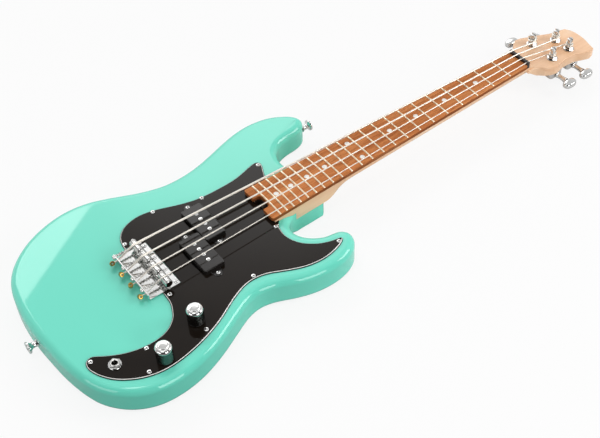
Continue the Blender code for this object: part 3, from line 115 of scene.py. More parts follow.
# Sections past the nut: distance, share of the top's fall and share of the back's swell
HEADSTOCK_SCOOP = ((0.003, 0.45, 0.25), (0.006, 0.80, 0.60), (0.010, 1.02, 1.0), (0.018, 1.25, 0.9))
TRUSS_AXIS = 0.0364
TRUSS_SEAT_RADIUS = 0.0043
TRUSS_SEAT_DEPTH = 0.0105
TRUSS_NOTCH_HALF_WIDTH = 0.0105
TRUSS_NOTCH_CORNER = 0.005
TRUSS_FLOOR = 0.0321
PLATE_CENTRE = (0.176, 0)
PLATE_LENGTH = 0.056
PLATE_WIDTH = 0.046
PLATE_THICKNESS = 0.002
PLATE_CORNER = 0.004
PLATE_EDGE = 0.0006
NECK_BORE_RADIUS = 0.0023
NECK_SCREWS = tuple((x, y) for x in (0.1555, 0.1965) for y in (-0.0155, 0.0155))
GUARD_BOTTOM = 0.0373
GUARD_TOP = 0.0391
GUARD_CUT_HEIGHT = 0.0377
GUARD_BEVEL = 0.0017
# Where the guard's edge stays square: past an x beside the neck, and between two beside the bridge
SQUARE_BY_NECK = (0.133, 0.034)
SQUARE_BY_BRIDGE = (-0.010, 0.016, 0.038)
SHEET_TOP = 0.0391
BRIDGE_WIDTH = 0.072
BRIDGE_REAR = 0.0263
BRIDGE_FRONT = 0.014
BRIDGE_SHEET = 0.0018
FLANGE_HEIGHT = 0.010
FLANGE_BEND = 0.0012
STRING_HOLE_Z = GUARD_BOTTOM + 0.0057
SCREW_Z = GUARD_BOTTOM + 0.0081
SCREW_OFFSET = 0.0044
SCREW_RADIUS = 0.00125
SCREW_HEAD_RADIUS = 0.0024
SCREW_END = 0.008
SPRING_WIRE = 0.00035
SPRING_RADIUS = 0.00195
SADDLE_RADIUS = 0.0045
SADDLE_LENGTH = 0.0176
SADDLE_Z = 0.0481
SADDLE_LEG_OFFSET = 0.0072
SADDLE_LEG_RADIUS = 0.0014
SADDLE_LEG_SPAN = (0.0394, 0.0530)
SADDLE_TAP_RADIUS = 0.0016
LEG_SOCKET_RADIUS = 0.0008
LEG_SOCKET_FLOOR = 0.0518
STRING_NAMES = ("e", "a", "d", "g")
STRING_RADII = (0.00133, 0.00108, 0.00083, 0.00058)
STRING_PITCHES = (0.01937, 0.00923)
STRING_RISES = (0.0043, 0.0006)
STRING_BEND_X = -0.0034
STRING_WRAPS = (1.6, 1.9, 2.2, 2.6)
BALL_STANDOFF = 0.0055
BALL_RADIUS = 0.0028
BALL_HALF_LENGTH = 0.0025
BALL_EDGE = 0.0006
BALL_EYE_RADIUS = 0.0013
BALL_TILTS = (50, 35, 70, 40)
PICKUPS = {"bass": (0.0792, 0.0182), "treble": (0.0530, -0.0182)}
PICKUP_LENGTH = 0.054
PICKUP_WIDTH = 0.0258
PICKUP_TOP = 0.045
PICKUP_BOTTOM = 0.025
PICKUP_CORNER = 0.0025
PICKUP_EDGE = 0.0009
EAR_REACH = 0.032
EAR_RADIUS = 0.0048
EAR_TOP = 0.0397
EAR_THICKNESS = 0.0022
EAR_EDGE = 0.0004
EAR_FOOT_SHARE = 1.35
EAR_START = 20
POLE_PITCH = 0.0092
POLE_RADIUS = 0.0024
POLE_RIM = 0.0001
POLE_DOME = 0.0004
KNOBS = {"volume": (-0.0012, -0.0897), "tone": (-0.0523, -0.1105)}
KNOB_RADIUS = 0.00915
KNOB_BOTTOM = 0.0401
KNOB_HEIGHT = 0.0215
KNOB_DOME = 0.0036
KNOB_KNURLS = 54
KNURL_START = 0.0009
KNURL_END = 0.0160
KNURL_DEPTH = 0.03
KNOB_KNURL_TOP = KNOB_BOTTOM + 0.0164
JACK_PLACE = (-0.0964, -0.0852)
JACK_TOP = 0.0427
JACK_BORE_RADIUS = 0.0049
JACK_NUT_RADIUS = 0.0068
POST_PLACES = ((0.5890, 0.0177), (0.6180, 0.0045), (0.6190, -0.0185), (0.5890, -0.0187))
KEY_SIDES = (1, 1, -1, -1)
POST_WAIST = 0.003
POST_CROWN = 0.0036
POST_TOP = 0.0544
POST_BORE_RADIUS = 0.0032
TUNER_HOLE_RADIUS = 0.0049
TUNER_NUT_RADIUS = 0.0055
TUNER_NUT_HEIGHT = 0.0026
WASHER_HEIGHT = 0.0009
WRAP_CLEARANCE = 0.0007
BUSHING_FACE = HEADSTOCK_TOP + FIT_GAP
HOUSING_BOTTOM = 0.0131
HOUSING_LENGTH = 0.0205
HOUSING_INNER_REACH = 0.0095
HOUSING_OUTER_REACH = 0.012
HOUSING_CORNER = 0.004
HOUSING_ROUND = 0.003
KEY_Z = 0.0186
KEY_BORE_RADIUS = 0.0023
BUTTON_REACH = 0.034
BUTTON_LENGTH = 0.0135
BUTTON_WIDTH = 0.020
BUTTON_THICKNESS = 0.0075
BUTTON_DISH = 0.12

# The headstock's outline, in millimetres past the nut, from the treble side to the bass side
HEADSTOCK_POINTS = (
    (-2.6, -18.2), (11.4, -21.5), (19.1, -28.3), (26.9, -32.5), (35.4, -33.5), (45.4, -31),
    (56.4, -31), (67.4, -32), (78.4, -36.2), (87.4, -39), (93.9, -37.5), (95.9, -29), (98.9, -17),
    (99.7, -5), (97.9, 6.5), (93.9, 13.5), (85.4, 16), (73.4, 18.5), (59.4, 25), (45.4, 31),
    (34.4, 36), (27.4, 37), (20.4, 33), (13.4, 26.5), (5.4, 20.5), (-2.6, 18.2),
)
# Places of the small screws and the fret markers
GUARD_SCREWS = (
    (0.1821, 0.0573), (0.1006, 0.0540), (0.0449, 0.0704), (-0.0053, 0.0480), (0.1416, -0.0343),
    (0.1831, -0.0949), (0.0805, -0.0769), (-0.0042, -0.0426), (0.0009, -0.1052),
    (-0.0606, -0.0875), (-0.0736, -0.1140), (-0.1144, -0.0669),
)
BRIDGE_SCREWS = ((0.0105, 0.0320), (0.0105, 0.0107), (0.0105, -0.0107), (0.0105, -0.0320))
MARKED_FRETS = (3, 5, 7, 9, 15, 17, 19, 21)
MARKER_RADIUS = 0.003
DOUBLE_MARKER_Y = 0.0143

# Heads of the small screws: radius, dome height and the recess's share of the radius
GUARD_SCREW_HEAD = (0.0026, 0.0008, 0.62)
BRIDGE_SCREW_HEAD = (0.0024, 0.0009, 0.62)
EAR_SCREW_HEAD = (0.0026, 0.0012, 0.6)

# Boxes, as middle and half size, in which a material turns dark: painted shade in the body's pickup routs and
# in the neck's truss-rod notch
ROUT_SHADE_BOX = ((0.066, 0, BODY_THICKNESS), (0.031, 0.050, 0.020))
NOTCH_SHADE_BOX = ((HEEL_START, 0, NECK_TOP), (0.009, TRUSS_NOTCH_HALF_WIDTH + FIT_GAP, 0.020))


# Materials

def connect(tree, node, inputs):
    """Links or sets a node's inputs, by name or number."""
    for key, value in inputs.items():
        if isinstance(value, bpy.types.NodeSocket):
            tree.links.new(value, node.inputs[key])
        else:
            node.inputs[key].default_value = value


def add_node(tree, kind, inputs=None, **settings):
    node = tree.nodes.new("ShaderNode" + kind)
    for name, value in settings.items():
        setattr(node, name, value)
    connect(tree, node, inputs or {})
    return node


def object_space(tree, stretch=(1, 1, 1)):
    """The piece's own coordinates in metres, multiplied per axis."""
    source = add_node(tree, "TexCoord").outputs["Object"]
    return add_node(tree, "Mapping", {"Vector": source, "Scale": stretch}).outputs["Vector"]


def noise(tree, stretch, detail=3.0, roughness=0.55, distortion=0.0):
    return add_node(tree, "TexNoise", {
        "Vector": object_space(tree, stretch), "Scale": 1.0, "Detail": detail,
        "Roughness": roughness, "Distortion": distortion}).outputs["Fac"]


def ramp(tree, factor, stops, interpolation="LINEAR"):
    """A colour ramp over stops, each a position with a colour or a grey."""
    node = add_node(tree, "ValToRGB", {"Fac": factor})
    node.color_ramp.interpolation = interpolation
    elements = node.color_ramp.elements
    while len(elements) < len(stops):
        elements.new(0.5)
    for element, (position, colour) in zip(elements, stops):
        element.position = position
        element.color = (*(colour if isinstance(colour, tuple) else (colour,) * 3), 1.0)
    return node.outputs["Color"]


def spread(tree, value, low, high, start=0.3, end=0.7):
    """A value moved from one span, by default a noise's, to another."""
    return add_node(tree, "MapRange", {
        "Value": value, "From Min": start, "From Max": end,
        "To Min": low, "To Max": high}).outputs["Result"]


def above(tree, low, high):
    """0 below one height and 1 above another, in the piece's own coordinates."""
    split = add_node(tree, "SeparateXYZ", {"Vector": object_space(tree)})
    return spread(tree, split.outputs["Z"], 0, 1, low, high)


def along(tree, vector, direction, low, high):
    """0 to 1 between two distances of a vector along a direction."""
    dot = add_node(tree, "VectorMath", {0: vector, 1: direction}, operation="DOT_PRODUCT")
    return spread(tree, dot.outputs["Value"], 0, 1, low, high)


def within_box(tree, middle, half):
    """1 inside a box in the piece's own coordinates and 0 outside it."""
    away = add_node(tree, "VectorMath", {0: object_space(tree), 1: middle}, operation="SUBTRACT")
    size = add_node(tree, "VectorMath", {0: away.outputs["Vector"]}, operation="ABSOLUTE")
    split = add_node(tree, "SeparateXYZ", {"Vector": size.outputs["Vector"]})
    inside = 1.0
    for axis, limit in zip("XYZ", half):
        near = add_node(tree, "Math", {0: split.outputs[axis], 1: limit}, operation="LESS_THAN")
        both = add_node(tree, "Math", {0: inside, 1: near.outputs[0]}, operation="MULTIPLY")
        inside = both.outputs[0]
    return inside


def mix(tree, factor, first, second, blend="MIX"):
    return add_node(tree, "Mix", {0: factor, 6: first, 7: second},
                    data_type="RGBA", blend_type=blend).outputs[2]


def bump(tree, height, distance, strength):
    return add_node(tree, "Bump", {
        "Height": height, "Distance": distance, "Strength": strength}).outputs["Normal"]


def lacquer(tree):
    colour = ramp(tree, noise(tree, (5, 5, 5), 2), (
        (0.30, (0.150, 0.700, 0.545)), (0.50, (0.156, 0.712, 0.556)), (0.72, (0.162, 0.724, 0.567))))
    return {
        # The lacquer inside the pickup routs turns near black: painted shade in the routs.
        "Base Color": mix(tree, within_box(tree, *ROUT_SHADE_BOX), colour, (0.010, 0.009, 0.008, 1)),
        "Roughness": spread(tree, noise(tree, (60, 60, 60)), 0.37, 0.43),
        "Coat Weight": 1.0, "Coat Roughness": 0.03, "Specular IOR Level": 0.05,
    }


def three_ply(tree):
    plies = ramp(tree, above(tree, GUARD_BOTTOM, GUARD_TOP), (
        (0.0, (0.010, 0.007, 0.005)), (0.49, (0.90, 0.89, 0.86)), (0.78, (0.010, 0.007, 0.005))),
        "CONSTANT")
    cloud = ramp(tree, noise(tree, (22, 22, 22), 5), ((0.3, 0.88), (0.7, 1.1)))
    return {
        "Base Color": mix(tree, 1.0, plies, cloud, "MULTIPLY"),
        "Roughness": spread(tree, noise(tree, (90, 90, 90), 5), 0.035, 0.065),
        "Specular IOR Level": 0.2,
    }


def maple(tree):
    figure = ramp(tree, noise(tree, (5, 34, 34), 3, 0.5, 0.6), (
        (0.28, (0.80, 0.47, 0.270)), (0.50, (0.87, 0.58, 0.375)), (0.72, (0.90, 0.66, 0.47))))
    lines = ramp(tree, noise(tree, (26, 520, 520), 5, 0.65), (
        (0.34, (0.90, 0.84, 0.77)), (0.48, (0.98, 0.97, 0.95)), (0.62, 1.0)))
    patch = ramp(tree, noise(tree, (11, 26, 26), 2, 0.5, 0.8), ((0.50, 1.0), (0.72, (1.0, 0.86, 0.68))))
    wood = mix(tree, 0.70, mix(tree, 0.55, figure, lines, "MULTIPLY"), patch, "MULTIPLY")
    return {
        # The maple inside the truss-rod notch turns near black: painted shade in the notch.
        "Base Color": mix(tree, within_box(tree, *NOTCH_SHADE_BOX), wood, (0.028, 0.018, 0.013, 1)),
        "Roughness": spread(tree, noise(tree, (40, 400, 400)), 0.30, 0.42),
        "Normal": bump(tree, noise(tree, (40, 700, 700), 4), 0.00005, 0.35),
        "Coat Weight": 0.25, "Coat Roughness": 0.18, "Specular IOR Level": 0.45,
    }


def rosewood(tree):
    """Open-grained wood, with painted shade darkening the board's sides."""
    figure = ramp(tree, noise(tree, (7, 120, 120), 4, 0.6, 0.5), (
        (0.26, (0.37, 0.115, 0.035)), (0.50, (0.60, 0.220, 0.074)), (0.74, (0.76, 0.34, 0.13))))
    grain = noise(tree, (90, 1500, 1500), 3, 0.7)
    pores = ramp(tree, grain, (
        (0.36, (0.42, 0.34, 0.30)), (0.47, (0.95, 0.93, 0.92)), (0.60, 1.0)))
    # Below the board's top edge the colour is darkened: painted shade on the board's sides.
    side = ramp(tree, above(tree, BOARD_TOP - 0.0018, BOARD_TOP - 0.0014), (
        (0.0, (0.50, 0.44, 0.42)), (1.0, 1.0)))
    wood = mix(tree, 0.75, figure, pores, "MULTIPLY")
    return {
        "Base Color": mix(tree, 1.0, wood, side, "MULTIPLY"),
        "Roughness": spread(tree, noise(tree, (50, 600, 600)), 0.42, 0.58),
        "Normal": bump(tree, grain, 0.00010, 0.5),
        "Specular IOR Level": 0.04,
    }


def metal(tree, colour, low, high, scale, relief=0.0):
    """Metal with a faint cloud in its colour and its polish."""
    cloud = noise(tree, (scale,) * 3, 4)
    dull = tuple(0.90 * part for part in colour)
    looks = {
        "Metallic": 1.0,
        "Base Color": ramp(tree, cloud, ((0.3, dull), (0.6, colour))),
        "Roughness": spread(tree, cloud, low, high),
    }
    if relief:
        looks["Normal"] = bump(tree, noise(tree, (scale,) * 3, 3), relief, 0.4)
    return looks


def knurled(tree):
    """Chrome on the knob's dome; its knurled side is rougher and painted near black, a painted reflection of
    the dark guard.
    """
    dome = above(tree, KNOB_KNURL_TOP - FIT_GAP, KNOB_KNURL_TOP + FIT_GAP)
    # Near-black base colour on the knurled side: painted reflection of the dark guard, not the chrome's own
    # colour.
    side = ramp(tree, noise(tree, (300, 300, 300), 4), (
        (0.3, (0.13, 0.13, 0.125)), (0.7, (0.19, 0.19, 0.185))))
    return {
        "Metallic": 1.0,
        "Base Color": mix(tree, dome, side, (0.72, 0.72, 0.71, 1)),
        "Roughness": ramp(tree, dome, ((0.0, 0.24), (1.0, 0.05))),
    }


def wound(tree, colour):
    """Round-wound string steel: fine turns across the string's run, with painted shade between the turns."""
    turns = add_node(tree, "TexWave", {
        "Vector": object_space(tree, (900, 900, 900)), "Scale": 1.0, "Distortion": 0.0},
        wave_type="BANDS", bands_direction="X", wave_profile="SIN").outputs["Fac"]
    # Darker colour in the troughs between the turns: painted shade.
    dark = tuple(0.82 * part for part in colour)
    return {
        "Metallic": 1.0,
        "Base Color": ramp(tree, turns, ((0.1, dark), (0.6, colour))),
        "Roughness": spread(tree, noise(tree, (200, 200, 200)), 0.28, 0.38),
        "Normal": bump(tree, turns, 0.00003, 0.3),
    }


def plastic(tree, dark, light, roughness):
    """Moulded plastic with a fine skin."""
    grain = noise(tree, (1400, 1400, 1400), 2)
    return {
        "Base Color": ramp(tree, noise(tree, (60, 60, 60), 4), ((0.3, dark), (0.7, light))),
        "Roughness": spread(tree, grain, roughness * 0.85, roughness * 1.15),
        "Normal": bump(tree, grain, 0.00002, 0.3),
        "Specular IOR Level": 0.45,
    }


def pearl(tree):
    colour = ramp(tree, noise(tree, (420, 260, 420), 5, 0.6, 1.5), (
        (0.30, (0.70, 0.70, 0.66)), (0.50, (0.84, 0.82, 0.76)), (0.70, (0.93, 0.90, 0.86))))
    return {
        "Base Color": colour, "Roughness": 0.22,
        "Coat Weight": 0.6, "Coat Roughness": 0.06, "Sheen Weight": 0.2,
    }


def new_material(name, looks, *settings):
    """A material whose shader's inputs come from a looks function."""
    material = bpy.data.materials.new(name)
    material.use_nodes = True
    tree = material.node_tree
    connect(tree, tree.nodes["Principled BSDF"], looks(tree, *settings))
    return material


MATERIALS = {name: new_material(name, *looks) for name, looks in {
    "seafoam_lacquer": (lacquer,),
    "black_plastic": (three_ply,),
    "maple": (maple,),
    "rosewood": (rosewood,),
    "nut_black": (plastic, (0.014, 0.013, 0.014), (0.026, 0.024, 0.025), 0.32),
    "chrome": (metal, (0.72, 0.72, 0.71), 0.03, 0.07, 240),
    "steel": (metal, (0.70, 0.69, 0.67), 0.20, 0.32, 500, 0.00001),
    "string_steel": (wound, (0.88, 0.83, 0.75)),
    "cover_black": (plastic, (0.009, 0.008, 0.007), (0.015, 0.013, 0.012), 0.13),
    "brass": (metal, (0.42, 0.27, 0.07), 0.20, 0.32, 400),
    "pearl": (pearl,),
    "knurled_chrome": (knurled,),
    "black_steel": (metal, (0.06, 0.055, 0.05), 0.30, 0.42, 500),
    "fret_wire": (metal, (0.95, 0.85, 0.66), 0.36, 0.46, 300),
}.items()}


# Mesh helpers

def add_object(name, data):
    obj = bpy.data.objects.new(name, data)
    bpy.context.scene.collection.objects.link(obj)
    return obj


def mesh_object(name, bm, slot):
    bmesh.ops.recalc_face_normals(bm, faces=bm.faces)
    mesh = bpy.data.meshes.new(name)
    bm.to_mesh(mesh)
    bm.free()
    obj = add_object(name, mesh)
    dress(obj, slot)
    return obj


def dress(obj, slot):
    """Gives a piece its one material, smooth faces and sharp edges."""
    obj.data.materials.clear()
    for face in obj.data.polygons:
        face.material_index = 0
    obj.data.shade_smooth()
    obj.data.set_sharp_from_angle(angle=SHARP_ANGLE)
    if slot:
        obj.data.materials.append(MATERIALS[slot])
        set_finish(obj, slot)


def settle(obj):
    """Replaces an object's mesh by what its modifiers make of it."""
    graph = bpy.context.evaluated_depsgraph_get()
    mesh = bpy.data.meshes.new_from_object(obj.evaluated_get(graph))
    obj.modifiers.clear()
    obj.data = mesh


def combine(obj, others, operation):
    for other in others:
        modifier = obj.modifiers.new(other.name, "BOOLEAN")
        modifier.operation = operation
        modifier.solver = "EXACT"
        modifier.object = other
    settle(obj)
    for other in others:
        bpy.data.objects.remove(other, do_unlink=True)
    dress(obj, obj.get("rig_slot"))


def carve(obj, *cutters):
    combine(obj, cutters, "DIFFERENCE")


def fuse(obj, *others):
    combine(obj, others, "UNION")


def soften(obj, width, segments):
    """Rounds an object's sharp edges."""
    modifier = obj.modifiers.new("edge", "BEVEL")
    modifier.width = width
    modifier.segments = segments
    modifier.limit_method = "ANGLE"
    modifier.angle_limit = radians(40)
    modifier.harden_normals = False
    settle(obj)
    dress(obj, obj.get("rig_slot"))


def weigh_normals(obj):
    """Keeps broad flat faces flat in the shading beside their rounded edges."""
    modifier = obj.modifiers.new("normals", "WEIGHTED_NORMAL")
    modifier.mode = "FACE_AREA"
    modifier.keep_sharp = True


def skin(bm, rings):
    """Faces over rings of equally many points, with a cap at each end."""
    rows = [[bm.verts.new(point) for point in ring] for ring in rings]
    count = len(rows[0])
    for low, high in zip(rows, rows[1:]):
        for i in range(count):
            j = (i + 1) % count
            bm.faces.new((low[i], low[j], high[j], high[i]))
    bm.faces.new(list(reversed(rows[0])))
    bm.faces.new(rows[-1])


def stack(name, rings, slot=None):
    bm = bmesh.new()
    skin(bm, rings)
    return mesh_object(name, bm, slot)


def spokes(count, start=0.0):
    """The cosine and sine of equal steps round a circle."""
    angles = [start + 2 * pi * i / count for i in range(count)]
    return [(cos(angle), sin(angle)) for angle in angles]


def turned_rings(profile, place, axis, segments):
    direction = Vector(axis).normalized()
    across = direction.orthogonal().normalized()
    up = direction.cross(across)
    place = Vector(place)
    return [[place + direction * distance + (across * c + up * s) * radius for c, s in spokes(segments)]
            for radius, distance in profile]


def turned(name, profile, place, axis=(0, 0, 1), segments=48, slot=None):
    """A solid turned about an axis. The profile gives radius and distance along it."""
    return stack(name, turned_rings(profile, place, axis, segments), slot)


def rod(name, radius, start, end, segments=32, slot=None):
    start, end = Vector(start), Vector(end)
    length = (end - start).length
    return turned(name, ((radius, 0), (radius, length)), start, end - start, segments, slot)


def bore(radius, x, y, low, high, segments=32):
    return rod("bore", radius, (x, y, low), (x, y, high), segments)


def tube_rings(points, radius, sides):
    """Rings round a line of points, without twist."""
    points = [Vector(point) for point in points]
    rings = []
    side = None
    for i, point in enumerate(points):
        ahead = (points[min(i + 1, len(points) - 1)] - points[max(i - 1, 0)]).normalized()
        if side is None:
            side = ahead.orthogonal()
        side = (side - ahead * side.dot(ahead)).normalized()
        up = ahead.cross(side)
        rings.append([point + (side * c + up * s) * radius for c, s in spokes(sides)])
    return rings


def arc(centre, radius, start, end, steps):
    """Points along a quarter or other arc, angles in degrees."""
    angles = [radians(start + (end - start) * step / steps) for step in range(steps + 1)]
    return [(centre[0] + radius * cos(angle), centre[1] + radius * sin(angle)) for angle in angles]


def at_height(loop, height):
    return [(point[0], point[1], height) for point in loop]


def slab(name, loop, low, high, slot=None):
    return stack(name, [at_height(loop, low), at_height(loop, high)], slot)


def turn_at(loop, i):
    before = loop[i] - loop[i - 1]
    after = loop[(i + 1) % len(loop)] - loop[i]
    return before.angle_signed(after, 0.0)


def loops_at(node, height):
    """The loops where a level plane cuts a frame node, largest first, without straight points."""
    bm = bmesh.new()
    bm.from_mesh(frame["nodes"][node].data)
    bmesh.ops.remove_doubles(bm, verts=bm.verts, dist=1e-6)
    cut = bmesh.ops.bisect_plane(bm, geom=bm.verts[:] + bm.edges[:] + bm.faces[:],
                                 plane_co=(0, 0, height), plane_no=(0, 0, 1))
    links = {}
    for edge in cut["geom_cut"]:
        if isinstance(edge, bmesh.types.BMEdge):
            first, second = edge.verts
            links.setdefault(first, []).append(second)
            links.setdefault(second, []).append(first)
    loops = []
    seen = set()
    for start in links:
        chain = []
        ahead = start
        while ahead is not None and ahead not in seen:
            seen.add(ahead)
            chain.append(Vector((ahead.co.x, ahead.co.y)))
            ahead = next((vert for vert in links[ahead] if vert not in seen), None)
        if len(chain) > 2:
            loops.append(tidied(chain))
    bm.free()
    return sorted(loops, key=lambda loop: -enclosed(loop))


def enclosed(loop):
    return abs(sum(loop[i - 1].cross(loop[i]) for i in range(len(loop)))) / 2


def tidied(loop, nearest=0.00008, straight=radians(0.15)):
    """An anticlockwise loop without doubled points or points on a straight run."""
    kept = [point for i, point in enumerate(loop) if (point - loop[i - 1]).length > nearest]
    kept = [point for i, point in enumerate(kept) if abs(turn_at(kept, i)) > straight]
    if sum(kept[i - 1].cross(kept[i]) for i in range(len(kept))) < 0:
        kept.reverse()
    return kept


def heading(before, point, after):
    """The direction of a curve at a point, weighted towards its shorter side."""
    back, ahead = (point - before).length, (after - point).length
    return ((point - before) / back * ahead + (after - point) / ahead * back) / (back + ahead)


def smoothed(loop, steps, corner=radians(36)):
    """A smooth curve through a loop that keeps its corners."""
    count = len(loop)
    sharp = [abs(turn_at(loop, i)) > corner for i in range(count)]
    found = []
    for i in range(count):
        before, start, end, after = (loop[(i + k) % count] for k in (-1, 0, 1, 2))
        span = end - start
        out = span.normalized() if sharp[i] else heading(before, start, end)
        into = span.normalized() if sharp[(i + 1) % count] else heading(start, end, after)
        if sharp[i] and sharp[(i + 1) % count]:
            found.append(start)
            continue
        reach = span.length
        for step in range(steps):
            t = step / steps
            found.append(
                start * (2 * t ** 3 - 3 * t ** 2 + 1) + out * reach * (t ** 3 - 2 * t ** 2 + t)
                + end * (3 * t ** 2 - 2 * t ** 3) + into * reach * (t ** 3 - t ** 2)
            )
    return found


def within(loop, node):
    """The loop kept inside the frame node's box."""
    low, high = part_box(node)
    return [Vector((min(max(p.x, low.x), high.x), min(max(p.y, low.y), high.y))) for p in loop]


def inset(loop, distances):
    """An anticlockwise loop moved inwards, each point by its own distance."""
    count = len(loop)
    moved = []
    for i, point in enumerate(loop):
        before = (point - loop[i - 1]).normalized()
        after = (loop[(i + 1) % count] - point).normalized()
        ahead = (before + after).normalized()
        moved.append(point + Vector((-ahead.y, ahead.x)) * distances[i])
    return moved


def rounded_ends(outline, radii, low, high, steps):
    """Rings of a slab whose lower and upper edges are rounded, each point by its own radius."""
    rings = []
    for top in (False, True):
        for step in range(steps + 1):
            angle = pi / 2 * (steps - step if top else step) / steps
            moved = inset(outline, [radius * (1 - sin(angle)) for radius in radii])
            rises = [radius * (1 - cos(angle)) for radius in radii]
            rings.append([(p.x, p.y, high - rise if top else low + rise) for p, rise in zip(moved, rises)])
    return rings


def rectangle(x, y, half_x, half_y):
    return [(x + sx * half_x, y + sy * half_y) for sx, sy in ((1, 1), (-1, 1), (-1, -1), (1, -1))]


def rounded_rectangle(centre, length, width, corner, steps=8):
    loop = []
    for quarter, middle in enumerate(rectangle(*centre, length / 2 - corner, width / 2 - corner)):
        loop += [Vector(p) for p in arc(middle, corner, 90 * quarter, 90 * quarter + 90, steps)]
    return loop


def rounded_block(centre, length, width, corner, start, end, edge, steps, ease=1.0):
    """Rings of a block between two heights, with a rounded edge at the end."""
    sign = 1 if end > start else -1
    rings = [at_height(rounded_rectangle(centre, length, width, corner), start)]
    for dx, dz in arc((0, 0), edge, 0, 90, steps):
        shrink = edge - dx
        loop = rounded_rectangle(centre, length - 2 * shrink, width - 2 * shrink, corner - shrink * ease)
        rings.append(at_height(loop, end - sign * (edge - dz)))
    return rings


def hexagon(x, y, radius, turn, levels):
    """Rings of a hexagonal nut. Each level gives a share of the radius and a height."""
    return [[(x + radius * scale * c, y + radius * scale * s, height) for c, s in spokes(6, turn)]
            for scale, height in levels]


def eased(share):
    share = min(max(share, 0.0), 1.0)
    return share * share * (3 - 2 * share)


def show(piece, *nodes, body="instrument"):
    """The piece rides on its body and stands for the frame nodes named."""
    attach(piece, body)
    if nodes:
        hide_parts(*nodes)


def repeated(name, pattern, places, slot, turn=0.0):
    """One piece made of copies of a pattern object, each turned a little further."""
    bm = bmesh.new()
    for number, place in enumerate(places):
        mesh = pattern.data.copy()
        mesh.transform(Matrix.Translation(Vector(place)) @ Matrix.Rotation(turn * number, 4, "Z"))
        bm.from_mesh(mesh)
        bpy.data.meshes.remove(mesh)
    bpy.data.objects.remove(pattern, do_unlink=True)
    return mesh_object(name, bm, slot)


# Shared shapes

def neck_half_width(x):
    share = (SCALE_LENGTH - x) / (SCALE_LENGTH - BOARD_END)
    return NUT_HALF_WIDTH + (BODY_END_HALF_WIDTH - NUT_HALF_WIDTH) * share


def board_drop(y):
    return BOARD_RADIUS - sqrt(BOARD_RADIUS ** 2 - y * y)


def fret_x(number):
    return SCALE_LENGTH * 2 ** (-number / 12)


def string_at(index, x):
    share = x / SCALE_LENGTH
    pitch, rise = (first + (last - first) * share for first, last in (STRING_PITCHES, STRING_RISES))
    return Vector((x, (1.5 - index) * pitch, FRET_PLANE + rise + STRING_RADII[index]))


def cross_cutters(loop, low, high, taper, place=(0, 0, 0), turn=0.0):
    """Two cutters of a cross recess: a loop between two heights, smaller at the low one."""
    cutters = []
    for number in range(2):
        small = [(x * taper, y * taper, low) for x, y in loop]
        cutter = stack(f"recess_{number}", [small, at_height(loop, high)])
        cutter.data.transform(Matrix.Translation(place) @ Matrix.Rotation(turn + pi / 2 * number, 4, "Z"))
        cutters.append(cutter)
    return cutters


def screw_head(radius, height, recess):
    """A domed countersunk head with a cross recess, its rim at z = 0."""
    steps = 8
    profile = [(radius * 0.55, -0.0012), (radius * 0.96, -0.0002), (radius, 0)]
    for step in range(1, steps):
        angle = pi / 2 * step / steps
        profile.append((radius * cos(angle), height * sin(angle)))
    profile.append((radius * 0.04, height))
    head = turned("screw_head", profile, (0, 0, 0), segments=28, slot="chrome")
    carve(head, *cross_cutters(rectangle(0, 0, radius * recess, radius * 0.17), -0.0006, height + MM, 0.45))
    return head


# Body

def edge_radii(loop):
    """Full edge rounding all over, easing to the small one along the neck's block."""
    radii = []
    for point in loop:
        off_side = (abs(point.y) - FULL_ROUND_OFF_AXIS) / ROUND_EASE[0]
        before_block = (FULL_ROUND_BEFORE_X - point.x) / ROUND_EASE[1]
        share = eased(max(off_side, before_block))
        radii.append(HEEL_ROUND + (BODY_ROUND - HEEL_ROUND) * share)
    return radii


def make_body():
    outline = within(smoothed(loops_at("body", BODY_CUT_HEIGHT)[0], 4), "body")
    body = stack("body_shell", rounded_ends(outline, edge_radii(outline), 0, BODY_THICKNESS, 12),
                 "seafoam_lacquer")
    start, end = HEEL_START - FIT_GAP, NECK_BLOCK_END + 2 * OVERCUT
    near, far = neck_half_width(start) + FIT_GAP, neck_half_width(end) + FIT_GAP
    pocket = ((start, -near), (end, -far), (end, far), (start, near))
    recess = rounded_rectangle(PLATE_CENTRE, PLATE_LENGTH + 2 * FIT_GAP, PLATE_WIDTH + 2 * FIT_GAP,
                               PLATE_CORNER)
    high = BODY_THICKNESS + OVERCUT
    cutters = [slab("pocket", pocket, NECK_TOP - HEEL_DEPTH - FIT_GAP, high),
               slab("controls", loops_at("body", BODY_CUT_HEIGHT)[1], CAVITY_FLOOR, ROUT_CUT_HEIGHT),
               slab("plate_recess", recess, -OVERCUT, PLATE_THICKNESS + FIT_GAP)]
    for number, loop in enumerate(loops_at("body", ROUT_CUT_HEIGHT)[1:]):
        cutters.append(slab(f"rout_{number}", loop, PICKUP_FLOOR, high))
    cutters += [bore(NECK_BORE_RADIUS, x, y, -OVERCUT, ROUT_CUT_HEIGHT, 24) for x, y in NECK_SCREWS]
    carve(body, *cutters)
    weigh_normals(body)
    show(body, "body")


